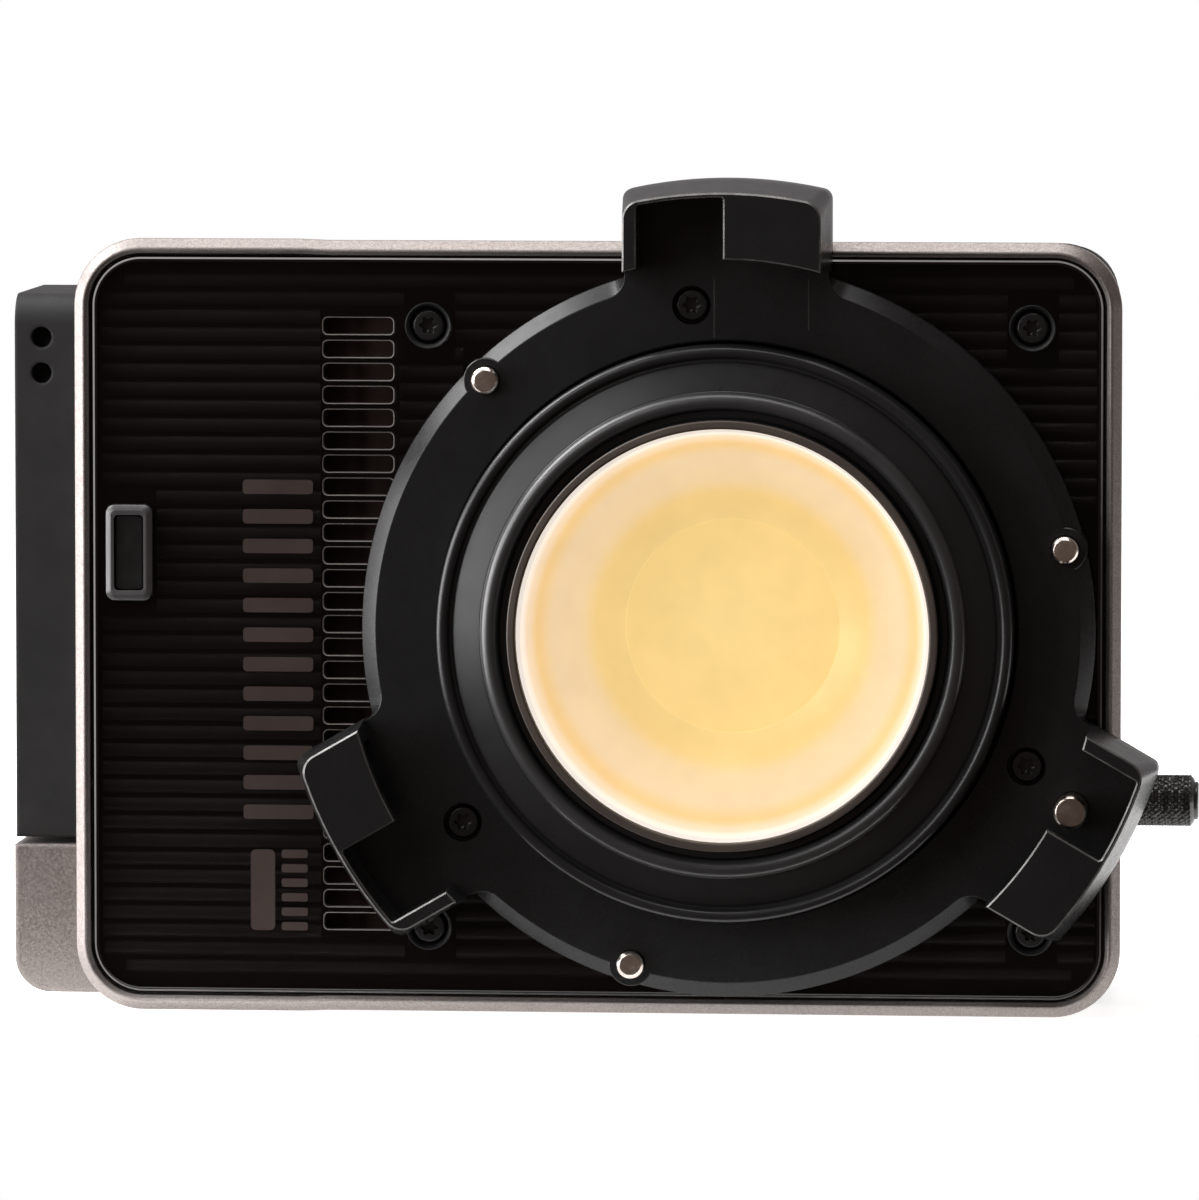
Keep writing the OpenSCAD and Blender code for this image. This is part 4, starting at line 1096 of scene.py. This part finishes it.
def helix(name, centre, along, near, far, r, wire, turns, node):
    """A wound wire spring as a tube, its ends closed flat."""
    steps, sides = int(turns * 28), 10
    rings = []
    for i in range(steps + 1):
        t = i / steps
        a = TAU * turns * t
        rise = min(max((t - 0.08) / 0.84, 0.0), 1.0)
        z = near + wire + (far - near - 2 * wire) * rise
        ring = []
        for k in range(sides):
            b = TAU * k / sides
            rad = r + wire * math.cos(b)
            u, v, w = rad * math.cos(a), rad * math.sin(a), z + wire * math.sin(b)
            if along == "depth":
                ring.append((centre[0] + u, centre[1] + v, w))
            else:
                ring.append((w, centre[0] + u, centre[1] + v))
        rings.append(ring)
    return piece(name, *rings_to_mesh(rings), [M["spring"]], "head", [node], "spring_steel", 60)


def spring(name, node, centre, span, wound, along="depth"):
    """A wound coil over its span; wound is (r, wire, turns)."""
    coil = helix(name, centre, along, *span, *wound, node)
    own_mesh(coil)


def build_springs():
    for letter, spot in zip("abc", PIN_SPOTS):
        spring(f"plunger_spring_{letter}", f"plunger_springs_{letter}", spot, (5.9, 11.55),
               (2.2, 0.3, 6))
    spring("lock_spring_coil", "lock_spring", (LOCK[0] - 0.7, LOCK[1]), (17.7, 33.9),
           (1.6, 0.28, 8))
    spring("release_spring_coil", "release_spring", BUTTON, (16.25, 18.95), (1.6, 0.22, 4))
    spring("latch_spring_coil", "latch_spring", (BUTTON[1], 34.0), (-101.35, -95.45),
           (1.4, 0.22, 6), "x")


# ------------------------------------------------ CAD nodes kept as they are

KEPT = {
    "rear": "rear_shell", "alloy": "chassis stand_block", "screw": "shell_screws",
    # cob_holder takes the holder's painted glow
    "rubber": "rear_feet lens_gasket dock_rail", "holder": "cob_holder",
    "black": "rear_grille fan_frame fan_rotor driver_parts display_module button_switches dc_inlet",
    "phosphor": "cob_board", "filter": "dust_filter", "copper": "heat_base heat_pipes",
    "fins": "heat_fins", "green": "driver_board", "blue": "control_board",
    "display": "display_window", "knurl": "dial_left dial_right", "red": "power_button",
    "rim": "mode_button effect_button", "shell_cad": "dock_block", "gold": "dock_contacts",
    "steel": "fan_screws dial_encoders usb_port dock_screws dock_latch lock_slide lock_bracket",
}


def finish_kept():
    for key, names in KEPT.items():
        for name in names.split():
            obj = NODES[name]
            for slot in obj.material_slots:
                slot.material = M[key]
            if not obj.material_slots:
                obj.data.materials.append(M[key])


# ------------------------------------------------ studio

def area_light(name, where, size, power, colour=(1, 1, 1)):
    """A softbox aimed at the front of the lamp."""
    data = bpy.data.lights.new(name, "AREA")
    data.shape = "RECTANGLE"
    data.size, data.size_y = size
    data.energy = power
    data.color = colour
    obj = add_object(name, data)
    obj.location = where
    obj.rotation_euler = (-Vector(where)).to_track_quat("-Z", "Y").to_euler()


def build_floor():
    base = CAD_BOX[0].z
    s = Shade("floor_pale", Roughness=0.9)
    pale = s.colour_between(s.pattern("noise", 3, 3), (0.90, 0.90, 0.90), (0.92, 0.92, 0.92))
    s.link(pale, s.bsdf.inputs["Emission Color"])
    s.set("Emission Strength", 0.84)
    mesh = bpy.data.meshes.new("floor")
    half, front, back = FLOOR_HALF_WIDTH, FLOOR_FRONT, FLOOR_BACK
    corners = [(-half, front), (half, front), (half, back), (-half, back)]
    mesh.from_pydata([(x, y, base) for x, y in corners], [], [(0, 1, 2, 3)])
    mesh.materials.append(s.mat)
    floor = add_object("floor", mesh)


def build_world():
    """White behind the lamp; dim from the front and brighter from behind for everything lit."""
    world = bpy.data.worlds.new("studio")
    bpy.context.scene.world = world
    world.use_nodes = True
    world.node_tree.nodes.clear()
    new, link = world.node_tree.nodes.new, world.node_tree.links.new
    coord, split = new("ShaderNodeTexCoord"), new("ShaderNodeSeparateXYZ")
    link(coord.outputs["Generated"], split.inputs[0])
    depth = new("ShaderNodeMapRange")
    depth.inputs["From Max"].default_value = 0.9
    link(split.outputs["Y"], depth.inputs["Value"])

    def blend(share, second):
        mix = new("ShaderNodeMix")
        mix.data_type = "RGBA"
        mix.inputs[7].default_value = second
        link(share, mix.inputs[0])
        return mix

    tone = blend(depth.outputs["Result"], (0.42, 0.40, 0.40, 1.0))
    tone.inputs[6].default_value = (0.085, 0.065, 0.055, 1.0)
    seen = blend(new("ShaderNodeLightPath").outputs["Is Camera Ray"], (1.0, 1.0, 1.0, 1.0))
    link(tone.outputs[2], seen.inputs[6])
    back, out = new("ShaderNodeBackground"), new("ShaderNodeOutputWorld")
    link(seen.outputs[2], back.inputs["Color"])
    link(back.outputs[0], out.inputs[0])


def build_lights():
    area_light("key_top", (-0.1, -0.05, 1.2), (1.4, 0.8), 10.0, (1.0, 0.985, 0.98))
    area_light("key_left", (-1.25, -0.16, 0.10), (1.0, 0.7), 15.0, (1.0, 0.985, 1.0))
    area_light("key_corner", (-0.85, -0.10, 0.82), (0.6, 0.6), 12.0)
    area_light("strip_left", (-0.95, -0.80, 0.20), (0.22, 0.8), 3.2)
    area_light("fill_front", (-0.9, -1.6, 0.9), (0.7, 0.7), 3.6)


def build_camera():
    cam = bpy.data.cameras.new("camera")
    cam.lens = 318.0
    cam.sensor_width = 36.0
    cam.clip_start, cam.clip_end = 0.05, 60.0
    obj = add_object("camera", cam)
    where = Vector((0.140, -1.750, 0.140))
    target = Vector((-0.0216, 0.0045, 0.0048))
    obj.location = where
    obj.rotation_euler = (target - where).to_track_quat("-Z", "Y").to_euler()
    bpy.context.scene.camera = obj


build_camera()
build_front_frame()
build_panel()
build_ribs()
build_print()
build_screws()
build_pins()
build_knob()
build_mount()
build_bezel()
build_optics()
build_release()
build_springs()
finish_kept()
build_floor()
build_world()
build_lights()
bpy.context.scene.view_settings.view_transform = "Standard"
